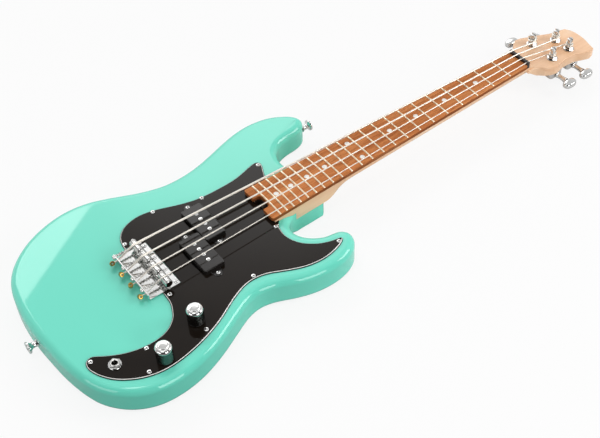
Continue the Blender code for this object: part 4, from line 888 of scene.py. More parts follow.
def make_pickguard():
    loops = loops_at("pickguard", GUARD_CUT_HEIGHT)
    outline = smoothed(loops[0], 4)
    neck_x, neck_y = SQUARE_BY_NECK
    bridge_rear, bridge_front, bridge_y = SQUARE_BY_BRIDGE
    bevels = []
    for point in outline:
        by_neck = point.x > neck_x and abs(point.y) < neck_y
        by_bridge = bridge_rear < point.x < bridge_front and abs(point.y) < bridge_y
        bevels.append(0.0 if by_neck or by_bridge else GUARD_BEVEL)
    rings = [at_height(outline, GUARD_BOTTOM), at_height(outline, GUARD_BOTTOM + FIT_GAP),
             at_height(inset(outline, [bevel * 0.97 for bevel in bevels]), GUARD_TOP - 0.00006),
             at_height(inset(outline, [bevel * 1.08 for bevel in bevels]), GUARD_TOP)]
    guard = stack("pickguard_sheet", rings, "black_plastic")
    carve(guard, *[slab(f"opening_{number}", smoothed(loop, 3), 0.030, 0.050)
                   for number, loop in enumerate(loops[1:])])
    weigh_normals(guard)
    show(guard, "pickguard")
    places = [(x, y, GUARD_TOP + 0.0002) for x, y in GUARD_SCREWS]
    show(repeated("pickguard_screws", screw_head(*GUARD_SCREW_HEAD), places, "chrome", 0.7))


# Neck

def neck_section(x, top, depth, half_width, roundness, sides=44):
    power = 2 / SHAFT_FULLNESS
    ring = []
    for i in range(sides + 1):
        angle = pi * i / sides
        place = 2 - 4 * i / sides
        box = Vector((min(max(place, -1), 1), min(2 - abs(place), 1)))
        oval = Vector((copysign(abs(cos(angle)) ** power, cos(angle)), sin(angle) ** power))
        if i in (0, sides):
            oval.y = 0
        across, down = box.lerp(oval, roundness)
        ring.append((x, half_width * across, top - depth * down))
    return ring


def make_neck():
    rings = [neck_section(x, NECK_TOP, HEEL_DEPTH, neck_half_width(x), 0)
             for x in (HEEL_START, HEEL_FLAT_END)]
    steps = 16
    for step in range(1, steps + 1):
        share = step / steps
        x = HEEL_FLAT_END + (HEEL_CURVE_END - HEEL_FLAT_END) * share
        depth = HEEL_DEPTH + (SHAFT_DEPTH - HEEL_DEPTH) * eased(share)
        rings.append(neck_section(x, NECK_TOP, depth, neck_half_width(x), eased(share)))
    x = NUT_BACK + 0.0008
    rings.append(neck_section(x, NECK_TOP, SHAFT_DEPTH_AT_NUT, neck_half_width(x), 1))
    back = NECK_TOP - SHAFT_DEPTH_AT_NUT
    for ahead, fall, swell in HEADSTOCK_SCOOP:
        top = NECK_TOP - (NECK_TOP - HEADSTOCK_TOP) * fall
        bottom = back + (HEADSTOCK_BACK + FIT_GAP - back) * swell
        rings.append(neck_section(NUT_BACK + ahead, top, top - bottom, neck_half_width(NUT_BACK), 1))
    neck = stack("neck_wood", rings, "maple")
    fuse(neck, make_headstock())
    rod_slot = rounded_rectangle((0.33, 0), 0.4166, 0.006, 0.0029, 4)
    cutters = [rod("nut_seat", TRUSS_SEAT_RADIUS, (HEEL_START - OVERCUT, 0, TRUSS_AXIS),
                   (HEEL_START + TRUSS_SEAT_DEPTH, 0, TRUSS_AXIS)),
               slab("rod_slot", rod_slot, TRUSS_FLOOR, NECK_TOP + OVERCUT), truss_notch()]
    cutters += [bore(TUNER_HOLE_RADIUS, x, y, 0.01, 0.05, 36) for x, y in POST_PLACES]
    carve(neck, *cutters)
    weigh_normals(neck)
    show(neck, "neck")


def make_headstock():
    """The headstock, whose underside sweeps up into the neck."""
    points = [Vector((NUT_BACK + x * MM, y * MM)) for x, y in HEADSTOCK_POINTS]
    outline = within(smoothed(tidied(points), 8), "neck")
    headstock = stack("headstock", rounded_ends(outline, [HEADSTOCK_ROUND] * len(outline),
                                                HEADSTOCK_BACK, HEADSTOCK_TOP, 5))
    start, thin_end = NUT_BACK - SWEEP_LEAD, HEADSTOCK_TOP - SWEEP_THICKNESS
    steps = 12
    profile = [(start, HEADSTOCK_BACK - OVERCUT)]
    for step in range(steps + 1):
        share = step / steps
        profile.append((start + SWEEP_LENGTH * share, thin_end - (thin_end - HEADSTOCK_BACK) * eased(share)))
    profile.append((start + SWEEP_LENGTH, HEADSTOCK_BACK - OVERCUT))
    carve(headstock, stack("sweep", [[(x, y, z) for x, z in profile] for y in (-0.05, 0.05)]))
    return headstock


def truss_notch():
    """The opening at the neck's end through which the truss rod's nut is reached."""
    end = fret_x(FRET_COUNT) - FRET_WIDTH / 2 - FIT_GAP
    corner = TRUSS_NOTCH_CORNER
    straight = TRUSS_NOTCH_HALF_WIDTH - corner
    loop = [(BOARD_END - OVERCUT, -TRUSS_NOTCH_HALF_WIDTH)]
    loop += arc((end - corner, -straight), corner, -90, 0, 8)
    loop += arc((end - corner, straight), corner, 0, 90, 8)
    loop.append((BOARD_END - OVERCUT, TRUSS_NOTCH_HALF_WIDTH))
    return slab("notch", loop, TRUSS_FLOOR, BOARD_TOP + OVERCUT)


def board_ring(x, half_width, spans=20):
    inner = half_width - BOARD_EDGE
    edge = BOARD_TOP - BOARD_EDGE - board_drop(half_width)
    ring = [(x, half_width, BOARD_BOTTOM), (x, -half_width, BOARD_BOTTOM), (x, -half_width, edge)]
    for i in range(spans + 1):
        y = inner * (2 * i / spans - 1)
        ring.append((x, y, BOARD_TOP - board_drop(y)))
    return ring + [(x, half_width, edge)]


def make_fretboard():
    rings = [board_ring(x, neck_half_width(x) - BOARD_CORNER + reach)
             for x, reach in arc((BOARD_END + BOARD_CORNER, 0), BOARD_CORNER, 180, 90, 10)]
    places = [fret_x(number) for number in range(FRET_COUNT, 0, -1)]
    rings += [board_ring(x, neck_half_width(x)) for x in places + [SCALE_LENGTH - FIT_GAP]]
    board = stack("fretboard_wood", rings, "rosewood")
    carve(board, truss_notch())
    weigh_normals(board)
    show(board, "fretboard")
    bm = bmesh.new()
    for number in range(1, FRET_COUNT + 1):
        add_fret(bm, number)
    frets = mesh_object("frets", bm, "steel")
    frets.data.materials[0] = MATERIALS["fret_wire"]
    show(frets)
    bm = bmesh.new()
    for number in MARKED_FRETS:
        add_marker(bm, (fret_x(number) + fret_x(number - 1)) / 2, 0)
    for side in (-1, 1):
        add_marker(bm, (fret_x(12) + fret_x(11)) / 2, side * DOUBLE_MARKER_Y)
    show(mesh_object("fret_markers", bm, "pearl"))


def add_fret(bm, number, spans=18, file_width=0.0007, sink=0.0003):
    """A crowned fret wire that follows the camber, with filed ends."""
    x = fret_x(number)
    half = neck_half_width(x) - 0.0002
    rings = []
    across = [-half, -half + file_width] + [half * 0.95 * (2 * i / spans - 1) for i in range(spans + 1)]
    across += [half - file_width, half]
    for i, y in enumerate(across):
        rise = 0.25 if i in (0, len(across) - 1) else 1.0
        low = BOARD_TOP - board_drop(y)
        ring = [(x + FRET_WIDTH / 2, y, low - sink), (x - FRET_WIDTH / 2, y, low - sink)]
        for px, pz in arc((0, 0), 1.0, 180, 0, 8):
            ring.append((x + px * FRET_WIDTH / 2, y, low + FRET_HEIGHT * rise * pz))
        rings.append(ring)
    skin(bm, rings)


def add_marker(bm, x, y):
    """A thin disc set in the board, its face along the camber."""
    rings = []
    for scale, rise in ((1.0, -0.0006), (1.0, 0.00002), (0.5, 0.00003), (0.02, 0.00003)):
        rim = [(x + scale * MARKER_RADIUS * c, y + scale * MARKER_RADIUS * s) for c, s in spokes(32)]
        rings.append([(px, py, BOARD_TOP - board_drop(py) + rise) for px, py in rim])
    skin(bm, rings)


def make_nut():
    crest = string_at(0, SCALE_LENGTH).z + NUT_CREST
    half = neck_half_width(SCALE_LENGTH) - NUT_SIDE_INSET
    low_back = crest - NUT_ROUND
    profile = [(SCALE_LENGTH, BOARD_BOTTOM), (NUT_BACK, BOARD_BOTTOM), (NUT_BACK, low_back)]
    profile += arc((NUT_BACK - NUT_ROUND, low_back), NUT_ROUND, 20, 90, 8)
    profile += [(SCALE_LENGTH + 0.0003, crest), (SCALE_LENGTH, crest - 0.0003)]
    rings = []
    for y, shrink in ((-half, NUT_EDGE), (NUT_EDGE - half, 0), (half - NUT_EDGE, 0), (half, NUT_EDGE)):
        rings.append([(min(max(x, SCALE_LENGTH + shrink), NUT_BACK - shrink), y,
                       min(z, crest - shrink)) for x, z in profile])
    nut = stack("nut_block", rings, "nut_black")
    cutters = []
    for index, name in enumerate(STRING_NAMES):
        radius = STRING_RADII[index] + NUT_SLOT_SLACK
        line = string_at(index, SCALE_LENGTH)
        start, end = SCALE_LENGTH - OVERCUT, NUT_BACK + OVERCUT
        cutters.append(rod(f"slot_{name}", radius, (start, line.y, line.z), (end, line.y, line.z), 24))
        mouth = rectangle((start + end) / 2, line.y, (end - start) / 2, radius)
        cutters.append(slab(f"mouth_{name}", mouth, line.z, crest + OVERCUT))
    carve(nut, *cutters)
    show(nut, "nut")


def make_neck_plate():
    rings = rounded_block(PLATE_CENTRE, PLATE_LENGTH, PLATE_WIDTH, PLATE_CORNER,
                          PLATE_THICKNESS, 0, PLATE_EDGE, 4)
    plate = stack("neck_plate_sheet", rings, "chrome")
    countersink = ((0.0040, -0.001), (0.0040, 0), (NECK_BORE_RADIUS, 0.0017), (NECK_BORE_RADIUS, 0.003))
    carve(plate, *[turned(f"countersink_{number}", countersink, (x, y, 0), segments=32)
                   for number, (x, y) in enumerate(NECK_SCREWS)])
    weigh_normals(plate)
    show(plate, "neck_plate")
    bolt = ((0.0003, 0.0001), (0.0030, 0.0001), (0.0037, 0.0004), (0.0020, 0.0019), (0.0020, 0.0319),
            (0.0006, 0.0339))
    for number, (x, y) in enumerate(NECK_SCREWS, 1):
        screw = turned(f"neck_bolt_{number}", bolt, (x, y, 0), segments=32, slot="steel")
        cross = rectangle(0, 0, 0.0021, 0.0005)
        carve(screw, *cross_cutters(cross, -0.001, 0.0012, 1.0, (x, y, 0), 0.4 * number))
        show(screw, f"neck_screw_{number}")


# Bridge

def make_bridge():
    rear, front = -BRIDGE_REAR, BRIDGE_FRONT
    top = GUARD_BOTTOM + FLANGE_HEIGHT
    inside = rear + BRIDGE_SHEET
    outer = FLANGE_BEND + BRIDGE_SHEET
    front_edge, flange_edge = 0.0004, 0.0005
    profile = [(front - front_edge, GUARD_BOTTOM), (front, GUARD_BOTTOM + front_edge),
               (front, SHEET_TOP - front_edge), (front - front_edge, SHEET_TOP)]
    profile += arc((inside + FLANGE_BEND, SHEET_TOP + FLANGE_BEND), FLANGE_BEND, 270, 180, 8)
    profile += [(inside, top - flange_edge), (inside - flange_edge, top),
                (rear + flange_edge, top), (rear, top - flange_edge)]
    profile += arc((rear + outer, GUARD_BOTTOM + outer), outer, 180, 270, 12)
    half = BRIDGE_WIDTH / 2
    plate = stack("bridge_sheet", [[(x, y, z) for x, z in profile] for y in (-half, half)], "chrome")
    soften(plate, 0.0003, 2)
    cutters = []
    for index, name in enumerate(STRING_NAMES):
        y = string_at(index, 0).y
        for kind, radius, side, z in (
                ("string", STRING_RADII[index] + FIT_GAP, y, STRING_HOLE_Z),
                ("screw", SCREW_RADIUS + 0.0001, y + SCREW_OFFSET, SCREW_Z)):
            cutters.append(rod(f"{kind}_hole_{name}", radius, (rear - OVERCUT, side, z),
                               (inside + OVERCUT, side, z), 24))
    carve(plate, *cutters)
    weigh_normals(plate)
    show(plate, "bridge_plate")
    places = [(x, y, SHEET_TOP + 0.0003) for x, y in BRIDGE_SCREWS]
    show(repeated("bridge_screws", screw_head(*BRIDGE_SCREW_HEAD), places, "chrome", 0.9))


def make_saddle(index, name):
    """A barrel with fine grooves, a string notch and two height screws."""
    body = f"saddle_{name}"
    y = string_at(index, 0).y
    grooves = 18
    pitch = (SADDLE_LENGTH - 0.0016) / grooves
    face = SADDLE_RADIUS - 0.0007
    profile = [(0.0012, 0), (face, 0), (SADDLE_RADIUS, 0.0006)]
    for number in range(grooves):
        start = 0.0008 + number * pitch
        profile += [(SADDLE_RADIUS, start + 0.25 * pitch), (SADDLE_RADIUS - 0.0003, start + 0.5 * pitch),
                    (SADDLE_RADIUS, start + 0.75 * pitch)]
    profile += [(SADDLE_RADIUS, SADDLE_LENGTH - 0.0006), (face, SADDLE_LENGTH), (0.0012, SADDLE_LENGTH)]
    end = (0, y - SADDLE_LENGTH / 2, SADDLE_Z)
    barrel = turned(f"saddle_barrel_{name}", profile, end, (0, 1, 0), 40, "chrome")
    line = string_at(index, 0).z
    reach = SADDLE_RADIUS + OVERCUT
    cutters = [rod("notch", STRING_RADII[index] + FIT_GAP, (-reach, y, line), (reach, y, line), 24),
               rod("thread", SCREW_RADIUS + 0.0001, (-reach, y + SCREW_OFFSET, SCREW_Z),
                   (reach, y + SCREW_OFFSET, SCREW_Z), 20)]
    sides = [y - SADDLE_LEG_OFFSET, y + SADDLE_LEG_OFFSET]
    cutters += [bore(SADDLE_TAP_RADIUS, 0, leg_y, 0.040, 0.060, 20) for leg_y in sides]
    carve(barrel, *cutters)
    show(barrel, body, body=body)
    bm = bmesh.new()
    for leg_y in sides:
        thread = threaded(SADDLE_LEG_RADIUS, 0.00016, 0.0005, *SADDLE_LEG_SPAN)
        skin(bm, turned_rings(thread, (0, leg_y, 0), (0, 0, 1), 20))
    legs = mesh_object(f"saddle_height_screws_{name}", bm, "steel")
    carve(legs, *[bore(LEG_SOCKET_RADIUS, 0, leg_y, LEG_SOCKET_FLOOR, 0.055, 6) for leg_y in sides])
    show(legs, body=body)


def threaded(radius, depth, pitch, start, end):
    """A profile of fine thread between two distances."""
    count = round((end - start) / pitch)
    profile = [(radius - 2 * depth, start)]
    for number in range(count):
        base = start + (end - start) * number / count
        profile += [(radius - depth, base + 0.1 * pitch), (radius, base + 0.5 * pitch)]
    return profile + [(radius - depth, end - 0.05 * pitch), (radius - 2 * depth, end)]


def make_intonation(index, name):
    """The screw that holds a saddle to the flange, and its spring."""
    y = string_at(index, 0).y + SCREW_OFFSET
    head = -BRIDGE_REAR - FIT_GAP - 0.0018
    edge = 0.0007
    profile = [(0.0004, head + 0.0002), (0.0017, head + 0.0002)]
    profile += arc((SCREW_HEAD_RADIUS - edge, head + edge), edge, -70, 0, 4)
    profile += [(SCREW_HEAD_RADIUS, head + 0.0018), (SCREW_RADIUS - 0.0001, head + 0.0019)]
    profile += threaded(SCREW_RADIUS, 0.00014, 0.0007, head + 0.0022, SCREW_END)
    screw = turned(f"intonation_bolt_{name}", profile, (0, y, SCREW_Z), (1, 0, 0), 20, "steel")
    cutters = []
    for turn in range(2):
        loop = rectangle(0, 0, 0.0014, 0.00033)
        cutter = stack(f"cross_{turn}", [[(head - 0.001, py, pz) for py, pz in loop],
                                         [(head + 0.0011, py * 0.6, pz) for py, pz in loop]])
        angle = 0.5 + index + pi / 2 * turn
        cutter.data.transform(Matrix.Translation((0, y, SCREW_Z)) @ Matrix.Rotation(angle, 4, "X"))
        cutters.append(cutter)
    carve(screw, *cutters)
    show(screw, f"intonation_screw_{name}", body=f"intonation_{name}")
    start, end = -0.0242 + SPRING_WIRE, -0.0048 - SPRING_WIRE
    per_turn, turns = 14, 7
    count = per_turn * turns
    points = []
    for i in range(count + 1):
        angle = 2 * pi * i / per_turn
        share = min(max((i - 0.7 * per_turn) / (count - 1.4 * per_turn), 0.0), 1.0)
        points.append((start + (end - start) * share, y + SPRING_RADIUS * cos(angle),
                       SCREW_Z + SPRING_RADIUS * sin(angle)))
    spring = stack(f"saddle_spring_{name}", tube_rings(points, SPRING_WIRE, 8), "steel")
    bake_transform(spring)
    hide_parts(f"intonation_spring_{name}")


# Strings

def string_route(index):
    """The string's centre line: ball end, bridge, saddle, nut and the turns round its post."""
    radius = STRING_RADII[index]
    crest = string_at(index, 0)
    low = STRING_HOLE_Z
    inside = -BRIDGE_REAR + BRIDGE_SHEET
    bend = STRING_BEND_X
    points = [Vector((x, crest.y, z)) for x, z in (
        (-BRIDGE_REAR - BALL_STANDOFF, low), (-BRIDGE_REAR, low), (inside + 0.0002, low + 0.0001),
        (inside + 0.0016, low + 0.0008), (bend - 0.0018, crest.z - 0.0006),
        (bend - 0.0009, crest.z - 0.0002), (bend, crest.z))]
    points += [string_at(index, x) for x in (0.01, SCALE_LENGTH, NUT_BACK)]
    leave = points[-1]
    centre = Vector(POST_PLACES[index])
    side = KEY_SIDES[index]
    wrap = POST_WAIST + radius + FIT_GAP
    towards = centre - Vector((leave.x, leave.y))
    angle = atan2(towards.y, towards.x) - side * asin(wrap / towards.length)
    start_angle = angle - side * pi / 2
    low_turn = BUSHING_FACE + WASHER_HEIGHT + TUNER_NUT_HEIGHT + WRAP_CLEARANCE + radius
    points.append(leave + Vector((0.002 * cos(angle), 0.002 * sin(angle), -0.0003)))
    per_turn = 27
    for i in range(round(STRING_WRAPS[index] * per_turn) + 1):
        turn = i / per_turn
        angle = start_angle + side * 2 * pi * turn
        points.append(Vector((centre.x + wrap * cos(angle), centre.y + wrap * sin(angle),
                              low_turn + (2 * radius + FIT_GAP) * turn)))
    return points


def make_string(index, name):
    radius = STRING_RADII[index]
    route = string_route(index)
    show(stack(f"string_wire_{name}", tube_rings(route, radius, 14), "string_steel"), f"string_{name}")
    half, bulge = BALL_HALF_LENGTH, BALL_RADIUS - BALL_EDGE
    profile = [(radius * 0.9, -half)]
    for sign, start, end in ((-1, -90, 0), (1, 0, 90)):
        middle = (bulge, sign * (half - BALL_EDGE))
        profile += arc(middle, BALL_EDGE, start, end, 5)
    profile.append((radius * 0.9, half))
    tilt = radians(BALL_TILTS[index])
    axis = Vector((0, -cos(tilt), sin(tilt)))
    ball = turned(f"ball_end_{name}", profile, route[0], axis, 32, "brass")
    carve(ball, rod("eye", BALL_EYE_RADIUS, route[0] - axis * 0.01, route[0] + axis * 0.01, 20))
    show(ball)


# Pickups

def pickup_loop(x, y, ear, steps=8):
    """The plan of a half pickup with its two round ears."""
    half_x, half_y = PICKUP_WIDTH / 2 - FIT_GAP, PICKUP_LENGTH / 2 - FIT_GAP
    quarter = arc((half_x - PICKUP_CORNER, half_y - PICKUP_CORNER), PICKUP_CORNER, 0, 90, steps)
    quarter.append((ear * EAR_FOOT_SHARE, half_y))
    quarter += arc((0, EAR_REACH), ear, EAR_START, 90, steps)
    top = quarter + [(-px, py) for px, py in reversed(quarter[:-1])]
    return [Vector((x + px, y + py)) for px, py in top + [(-px, -py) for px, py in top]]


def make_pickup(side, x, y):
    rings = rounded_block((x, y), PICKUP_WIDTH, PICKUP_LENGTH, PICKUP_CORNER,
                          PICKUP_BOTTOM, PICKUP_TOP, PICKUP_EDGE, 6)
    cover = stack(f"pickup_cover_{side}", rings, "cover_black")
    loop = pickup_loop(x, y, EAR_RADIUS)
    ears = [at_height(loop, EAR_TOP - EAR_THICKNESS), at_height(loop, EAR_TOP - EAR_EDGE),
            at_height(inset(tidied(loop, 0, 0), [EAR_EDGE] * len(loop)), EAR_TOP)]
    fuse(cover, stack("ears", ears))
    weigh_normals(cover)
    show(cover, f"pickup_{side}")
    profile = [(POLE_RADIUS, -0.002), (POLE_RADIUS, POLE_RIM)]
    profile += [(POLE_RADIUS * dx, POLE_RIM + POLE_DOME * dz) for dx, dz in arc((0, 0), 1.0, 0, 88, 7)]
    pole = turned("pole", profile, (0, 0, PICKUP_TOP), segments=32, slot="chrome")
    places = [(x, y + (number - 1.5) * POLE_PITCH, 0) for number in range(4)]
    show(repeated(f"pickup_poles_{side}", pole, places, "chrome"))
    places = [(x, y + end * (EAR_REACH + 0.0002), EAR_TOP + 0.0005) for end in (-1, 1)]
    show(repeated(f"pickup_screws_{side}", screw_head(*EAR_SCREW_HEAD), places, "chrome", 0.5))


# Controls

def make_knob(name, x, y):
    """A knurled knob with a domed top, bored from below for its shaft."""
    top = KNOB_HEIGHT
    profile = [(0.0001, 0.0191), (0.0033, 0.0191), (0.0033, 0.0075), (0.0066, 0.0075), (0.0066, 0.0002),
               (0.0069, 0), (0.0086, 0), (KNOB_RADIUS, 0.0005), (KNOB_RADIUS, KNURL_START),
               (KNOB_RADIUS, KNURL_END), (KNOB_RADIUS, 0.0164), (KNOB_RADIUS, top - 0.0042)]
    profile += arc((KNOB_RADIUS - KNOB_DOME, top - 0.0042), KNOB_DOME, 8, 66, 9)
    profile += [(0.0057, top - 0.00062), (0.0053, top - 0.00075), (0.0050, top - 0.00055),
                (0.0047, top - 0.00020), (0.0040, top - 0.00006), (0.0020, top), (0.0001, top)]
    knob = turned(f"{name}_cap", profile, (x, y, KNOB_BOTTOM), segments=4 * KNOB_KNURLS, slot="chrome")
    for vert in knob.data.vertices:
        spoke = Vector((vert.co.x - x, vert.co.y - y))
        height = vert.co.z - KNOB_BOTTOM
        if spoke.length > KNOB_RADIUS - FIT_GAP / 3 and KNURL_START - 0.0001 < height < KNURL_END + 0.0002:
            ridge = 0.5 - 0.5 * cos(KNOB_KNURLS * atan2(spoke.y, spoke.x))
            vert.co.xy = Vector((x, y)) + spoke * (1 - KNURL_DEPTH * ridge)
    dress(knob, "chrome")
    knob.data.materials[0] = MATERIALS["knurled_chrome"]
    show(knob, f"{name}_knob", body=f"{name}_control")


def make_jack():
    x, y = JACK_PLACE
    bottom = GUARD_TOP + FIT_GAP
    high = bottom + 0.0008
    top = JACK_TOP - 0.0007
    washer = ((0.0050, bottom), (0.00715, bottom), (0.00715, bottom + 0.0005), (0.0069, high), (0.0050, high))
    disc = turned("jack_washer", washer, (x, y, 0), slot="chrome")
    nut = stack("jack_hexagon", hexagon(x, y, JACK_NUT_RADIUS, 0.3, (
        (0.97, high), (1.0, bottom + 0.0011), (1.0, top - 0.0004), (0.92, top))), "chrome")
    for piece in (disc, nut):
        carve(piece, bore(JACK_BORE_RADIUS, x, y, 0.03, 0.05, 40))
    show(nut, "jack_nut")
    show(disc)
    socket = ((0.0001, 0.0123), (0.00325, 0.0123), (0.00325, JACK_TOP - 0.0004), (0.0036, JACK_TOP),
              (0.0043, JACK_TOP), (0.0047, JACK_TOP - 0.0004), (0.0047, 0.0370), (0.0068, 0.0370),
              (0.0068, 0.0108), (0.0001, 0.0108))
    show(turned("jack_barrel", socket, (x, y, 0), slot="steel"), "jack_socket")


# Tuners

def make_housing(name, x, y, side):
    back = HEADSTOCK_BACK - FIT_GAP
    width = HOUSING_INNER_REACH + HOUSING_OUTER_REACH
    middle = y + side * (HOUSING_OUTER_REACH - HOUSING_INNER_REACH) / 2
    rings = rounded_block((x, middle), HOUSING_LENGTH, width, HOUSING_CORNER,
                          back, HOUSING_BOTTOM, HOUSING_ROUND, 8, 0.8)
    housing = stack(f"tuner_case_{name}", rings, "chrome")
    carve(housing,
          bore(POST_BORE_RADIUS, x, y, HOUSING_BOTTOM + 0.0025, back + OVERCUT),
          rod("key_bore", KEY_BORE_RADIUS, (x, y + side * 0.0045, KEY_Z), (x, y + side * 0.03, KEY_Z)))
    weigh_normals(housing)
    show(housing, f"tuner_housing_{name}")


def make_bushing(index, name, x, y):
    face = BUSHING_FACE
    sleeve = ((POST_BORE_RADIUS, face - 0.008), (0.0046, face - 0.008), (0.0046, face), (0.0069, face),
              (0.0069, face + 0.0004), (0.0065, face + 0.0008), (0.0057, face + WASHER_HEIGHT),
              (0.0050, face + WASHER_HEIGHT))
    bushing = turned(f"tuner_collar_{name}", sleeve, (x, y, 0), slot="chrome")
    high = face + WASHER_HEIGHT + TUNER_NUT_HEIGHT
    nut = hexagon(x, y, TUNER_NUT_RADIUS, index, ((1.0, face + 0.0004), (1.0, high - 0.0005), (0.90, high)))
    fuse(bushing, stack("hexagon", nut))
    carve(bushing, bore(POST_BORE_RADIUS, x, y, 0.02, 0.05, 40))
    show(bushing, f"tuner_bushing_{name}")


def make_post(name, x, y):
    waist, flare, crown_edge = BUSHING_FACE + 0.0038, POST_TOP - 0.0038, 0.0007
    profile = [(0.0031, HOUSING_BOTTOM + 0.0028), (0.0031, waist), (POST_WAIST, waist + FIT_GAP),
               (POST_WAIST, flare), (POST_CROWN, flare + 0.0008), (POST_CROWN, POST_TOP - crown_edge)]
    profile += arc((POST_CROWN - crown_edge, POST_TOP - crown_edge), crown_edge, 20, 90, 5)
    profile += [(0.0014, POST_TOP), (0.0012, POST_TOP - 0.0012), (0.0001, POST_TOP - 0.0012)]
    post = turned(f"tuner_shaft_{name}", profile, (x, y, 0), slot="chrome")
    carve(post, slab("slot", rectangle(x, y, 0.0009, 0.01), POST_TOP - 0.003, POST_TOP + 0.001))
    show(post, f"tuner_post_{name}", body=f"post_{name}")


def make_key(name, x, y, side):
    """A tuner's shaft and its button, flat-sided with a dished inner end."""
    profile = [(0.0022, 0.0048), (0.0022, 0.0123), (0.0034, 0.0123), (0.0037, 0.0126), (0.0037, 0.0136),
               (0.0034, 0.0138), (0.0030, 0.0145), (0.0028, 0.0180), (0.0029, 0.0225)]
    profile += [(0.0029 + 0.0008 * eased(step / 6), 0.0225 + 0.0063 * step / 6) for step in range(1, 7)]
    key = turned(f"tuner_button_{name}", profile, (x, y, KEY_Z), (0, side, 0), 32, "chrome")
    rings = []
    for tilt in range(-80, 81, 16):
        scale = 0.62 + 0.35 * cos(radians(tilt)) ** 0.7
        height = KEY_Z + 0.5 * sin(radians(tilt)) / sin(radians(80)) * BUTTON_THICKNESS
        ring = []
        for c, s in spokes(44):
            across = copysign(abs(c) ** 0.8, c) * BUTTON_WIDTH / 2
            reach = copysign(abs(s) ** 0.9, s) * BUTTON_LENGTH / 2
            if s < 0:
                reach += BUTTON_DISH * BUTTON_LENGTH * (1 - c * c)
            ring.append((x + across * scale, y + side * (BUTTON_REACH + reach * scale), height))
        rings.append(ring)
    fuse(key, stack("paddle", rings))
    show(key, f"tuner_key_{name}", body=f"key_{name}")


def make_strap_button(end):
    node = f"strap_button_{end}"
    low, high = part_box(node)
    middle = (low + high) / 2
    side = 1 if middle.x > 0 else -1
    seat = Vector((low.x if side > 0 else high.x, middle.y, middle.z))
    profile = [(0.0042, 0), (0.0038, 0.0008), (0.0033, 0.0022), (0.0032, 0.0040), (0.0033, 0.0062),
               (0.0042, 0.0080), (0.0060, 0.0091), (0.0068, 0.0095)]
    profile += arc((0.0062, 0.0109), 0.0008, -40, 90, 8)
    profile += [(0.0040, 0.0117), (0.0034, 0.0112), (0.0010, 0.0112), (0.0001, 0.0112)]
    show(turned(f"strap_peg_{end}", profile, seat, (side, 0, 0), 48, "chrome"), node)


# Stage

WHITE = (0.985, 0.985, 0.985, 1)


def make_camera():
    camera = bpy.data.cameras.new("camera")
    camera.lens = 67.75
    camera.sensor_width = 36.0
    obj = add_object("camera", camera)
    obj.location = (-0.32139, -0.74071, 0.97168)
    obj.rotation_euler = Euler([radians(angle) for angle in (42.440158, 1.6676, -36.89443)])
    bpy.context.scene.camera = obj


def make_floor():
    """White paper to the camera, and grey felt in what the object reflects."""
    mesh = bpy.data.meshes.new("floor")
    mesh.from_pydata(at_height(rectangle(0, 0, 6, 6), 0), [], [(0, 1, 2, 3)])
    floor = add_object("floor", mesh)
    material = bpy.data.materials.new("floor")
    material.use_nodes = True
    tree = material.node_tree
    tree.nodes.clear()
    share = along(tree, object_space(tree), (0.3, 1, 0), -0.19, -0.05)
    felt = add_node(tree, "BsdfDiffuse", {"Color": ramp(tree, share, ((0.0, 0.22), (1.0, 0.76)))})
    paper = add_node(tree, "BsdfDiffuse", {"Color": (0.85, 0.85, 0.85, 1)})
    glow = add_node(tree, "Emission", {"Color": WHITE})
    white = add_node(tree, "MixShader", {"Fac": 0.88, 1: paper.outputs[0], 2: glow.outputs[0]})
    seen = add_node(tree, "LightPath").outputs["Is Camera Ray"]
    blend = add_node(tree, "MixShader", {"Fac": seen, 1: felt.outputs[0], 2: white.outputs[0]})
    add_node(tree, "OutputMaterial", {"Surface": blend.outputs[0]})
    mesh.materials.append(material)


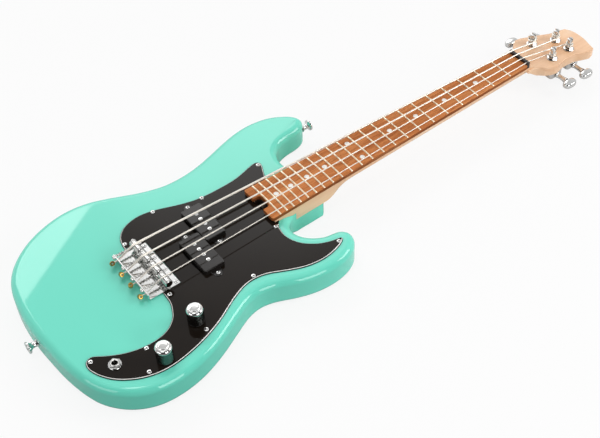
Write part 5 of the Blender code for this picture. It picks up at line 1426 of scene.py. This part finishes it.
def make_world():
    """A studio: white walls and a window behind the neck, dim walls on the treble side."""
    world = bpy.data.worlds.new("studio")
    bpy.context.scene.world = world
    world.use_nodes = True
    tree = world.node_tree
    source = add_node(tree, "TexCoord").outputs["Generated"]
    height = add_node(tree, "SeparateXYZ", {0: source}).outputs["Z"]
    dim = ramp(tree, height, ((0.0, 0.22), (0.15, 0.05), (0.80, 0.06), (0.97, 0.8)))
    bright = ramp(tree, height, ((0.0, 1.0), (0.45, 0.80), (0.80, 0.70), (0.97, 0.8)))
    walls = mix(tree, along(tree, source, (0.5, 0.87, 0), -0.35, 0.35), dim, bright)
    window = ramp(tree, along(tree, source, (0.436, 0.671, 0.60), 0.94, 1.0), (
        (0.08, 0.0), (0.37, 0.2), (0.58, 0.7), (0.77, 1.7), (1.0, 2.3)))
    studio = mix(tree, 1.0, walls, window, "ADD")
    seen = add_node(tree, "LightPath").outputs["Is Camera Ray"]
    connect(tree, tree.nodes["Background"], {"Color": mix(tree, seen, studio, WHITE)})


def add_lamp(name, place, size, power, target=None, turn=0.0):
    """A rectangular lamp that faces its target, or that lies level, turned by an angle in degrees."""
    lamp = bpy.data.lights.new(name, "AREA")
    lamp.shape = "RECTANGLE"
    lamp.size, lamp.size_y = size
    lamp.energy = power
    obj = add_object(name, lamp)
    obj.location = place
    obj.rotation_euler.z = radians(turn)
    if target:
        obj.rotation_euler = (Vector(target) - Vector(place)).to_track_quat("-Z", "Y").to_euler()


def make_pieces():
    make_body()
    make_pickguard()
    make_neck()
    make_fretboard()
    make_nut()
    make_neck_plate()
    make_bridge()
    for index, name in enumerate(STRING_NAMES):
        x, y = POST_PLACES[index]
        make_saddle(index, name)
        make_intonation(index, name)
        make_string(index, name)
        make_housing(name, x, y, KEY_SIDES[index])
        make_bushing(index, name, x, y)
        make_post(name, x, y)
        make_key(name, x, y, KEY_SIDES[index])
    for side, (x, y) in PICKUPS.items():
        make_pickup(side, x, y)
    for name, (x, y) in KNOBS.items():
        make_knob(name, x, y)
    make_jack()
    for end in ("tail", "horn"):
        make_strap_button(end)
    for part in frame["record"]["subparts"]:
        node = frame["nodes"][part["node"]]
        node.data.materials.clear()
        node.data.materials.append(MATERIALS[part["material_slot"]])
    frame["nodes"]["truss_rod_nut"].data.materials[0] = MATERIALS["black_steel"]


make_camera()
make_pieces()
make_floor()
make_world()
add_lamp("softbox", (0.124, 2.374, 2.0), (1.3, 1.3), 21, turn=32)
add_lamp("overhead", (-0.5, -0.2, 2.2), (0.6, 0.6), 5, target=(0, 0, 0))
add_lamp("right", (1.8, -1.2, 1.2), (1.0, 1.0), 19, target=(0.1, 0, 0))
add_lamp("front", (0.2, -2.4, 0.8), (1.2, 1.2), 22, target=(0.1, 0, 0))
add_lamp("left", (-2.2, -0.3, 0.8), (1.6, 1.0), 13, target=(0, 0, 0))
bpy.context.scene.view_settings.view_transform = "Standard"
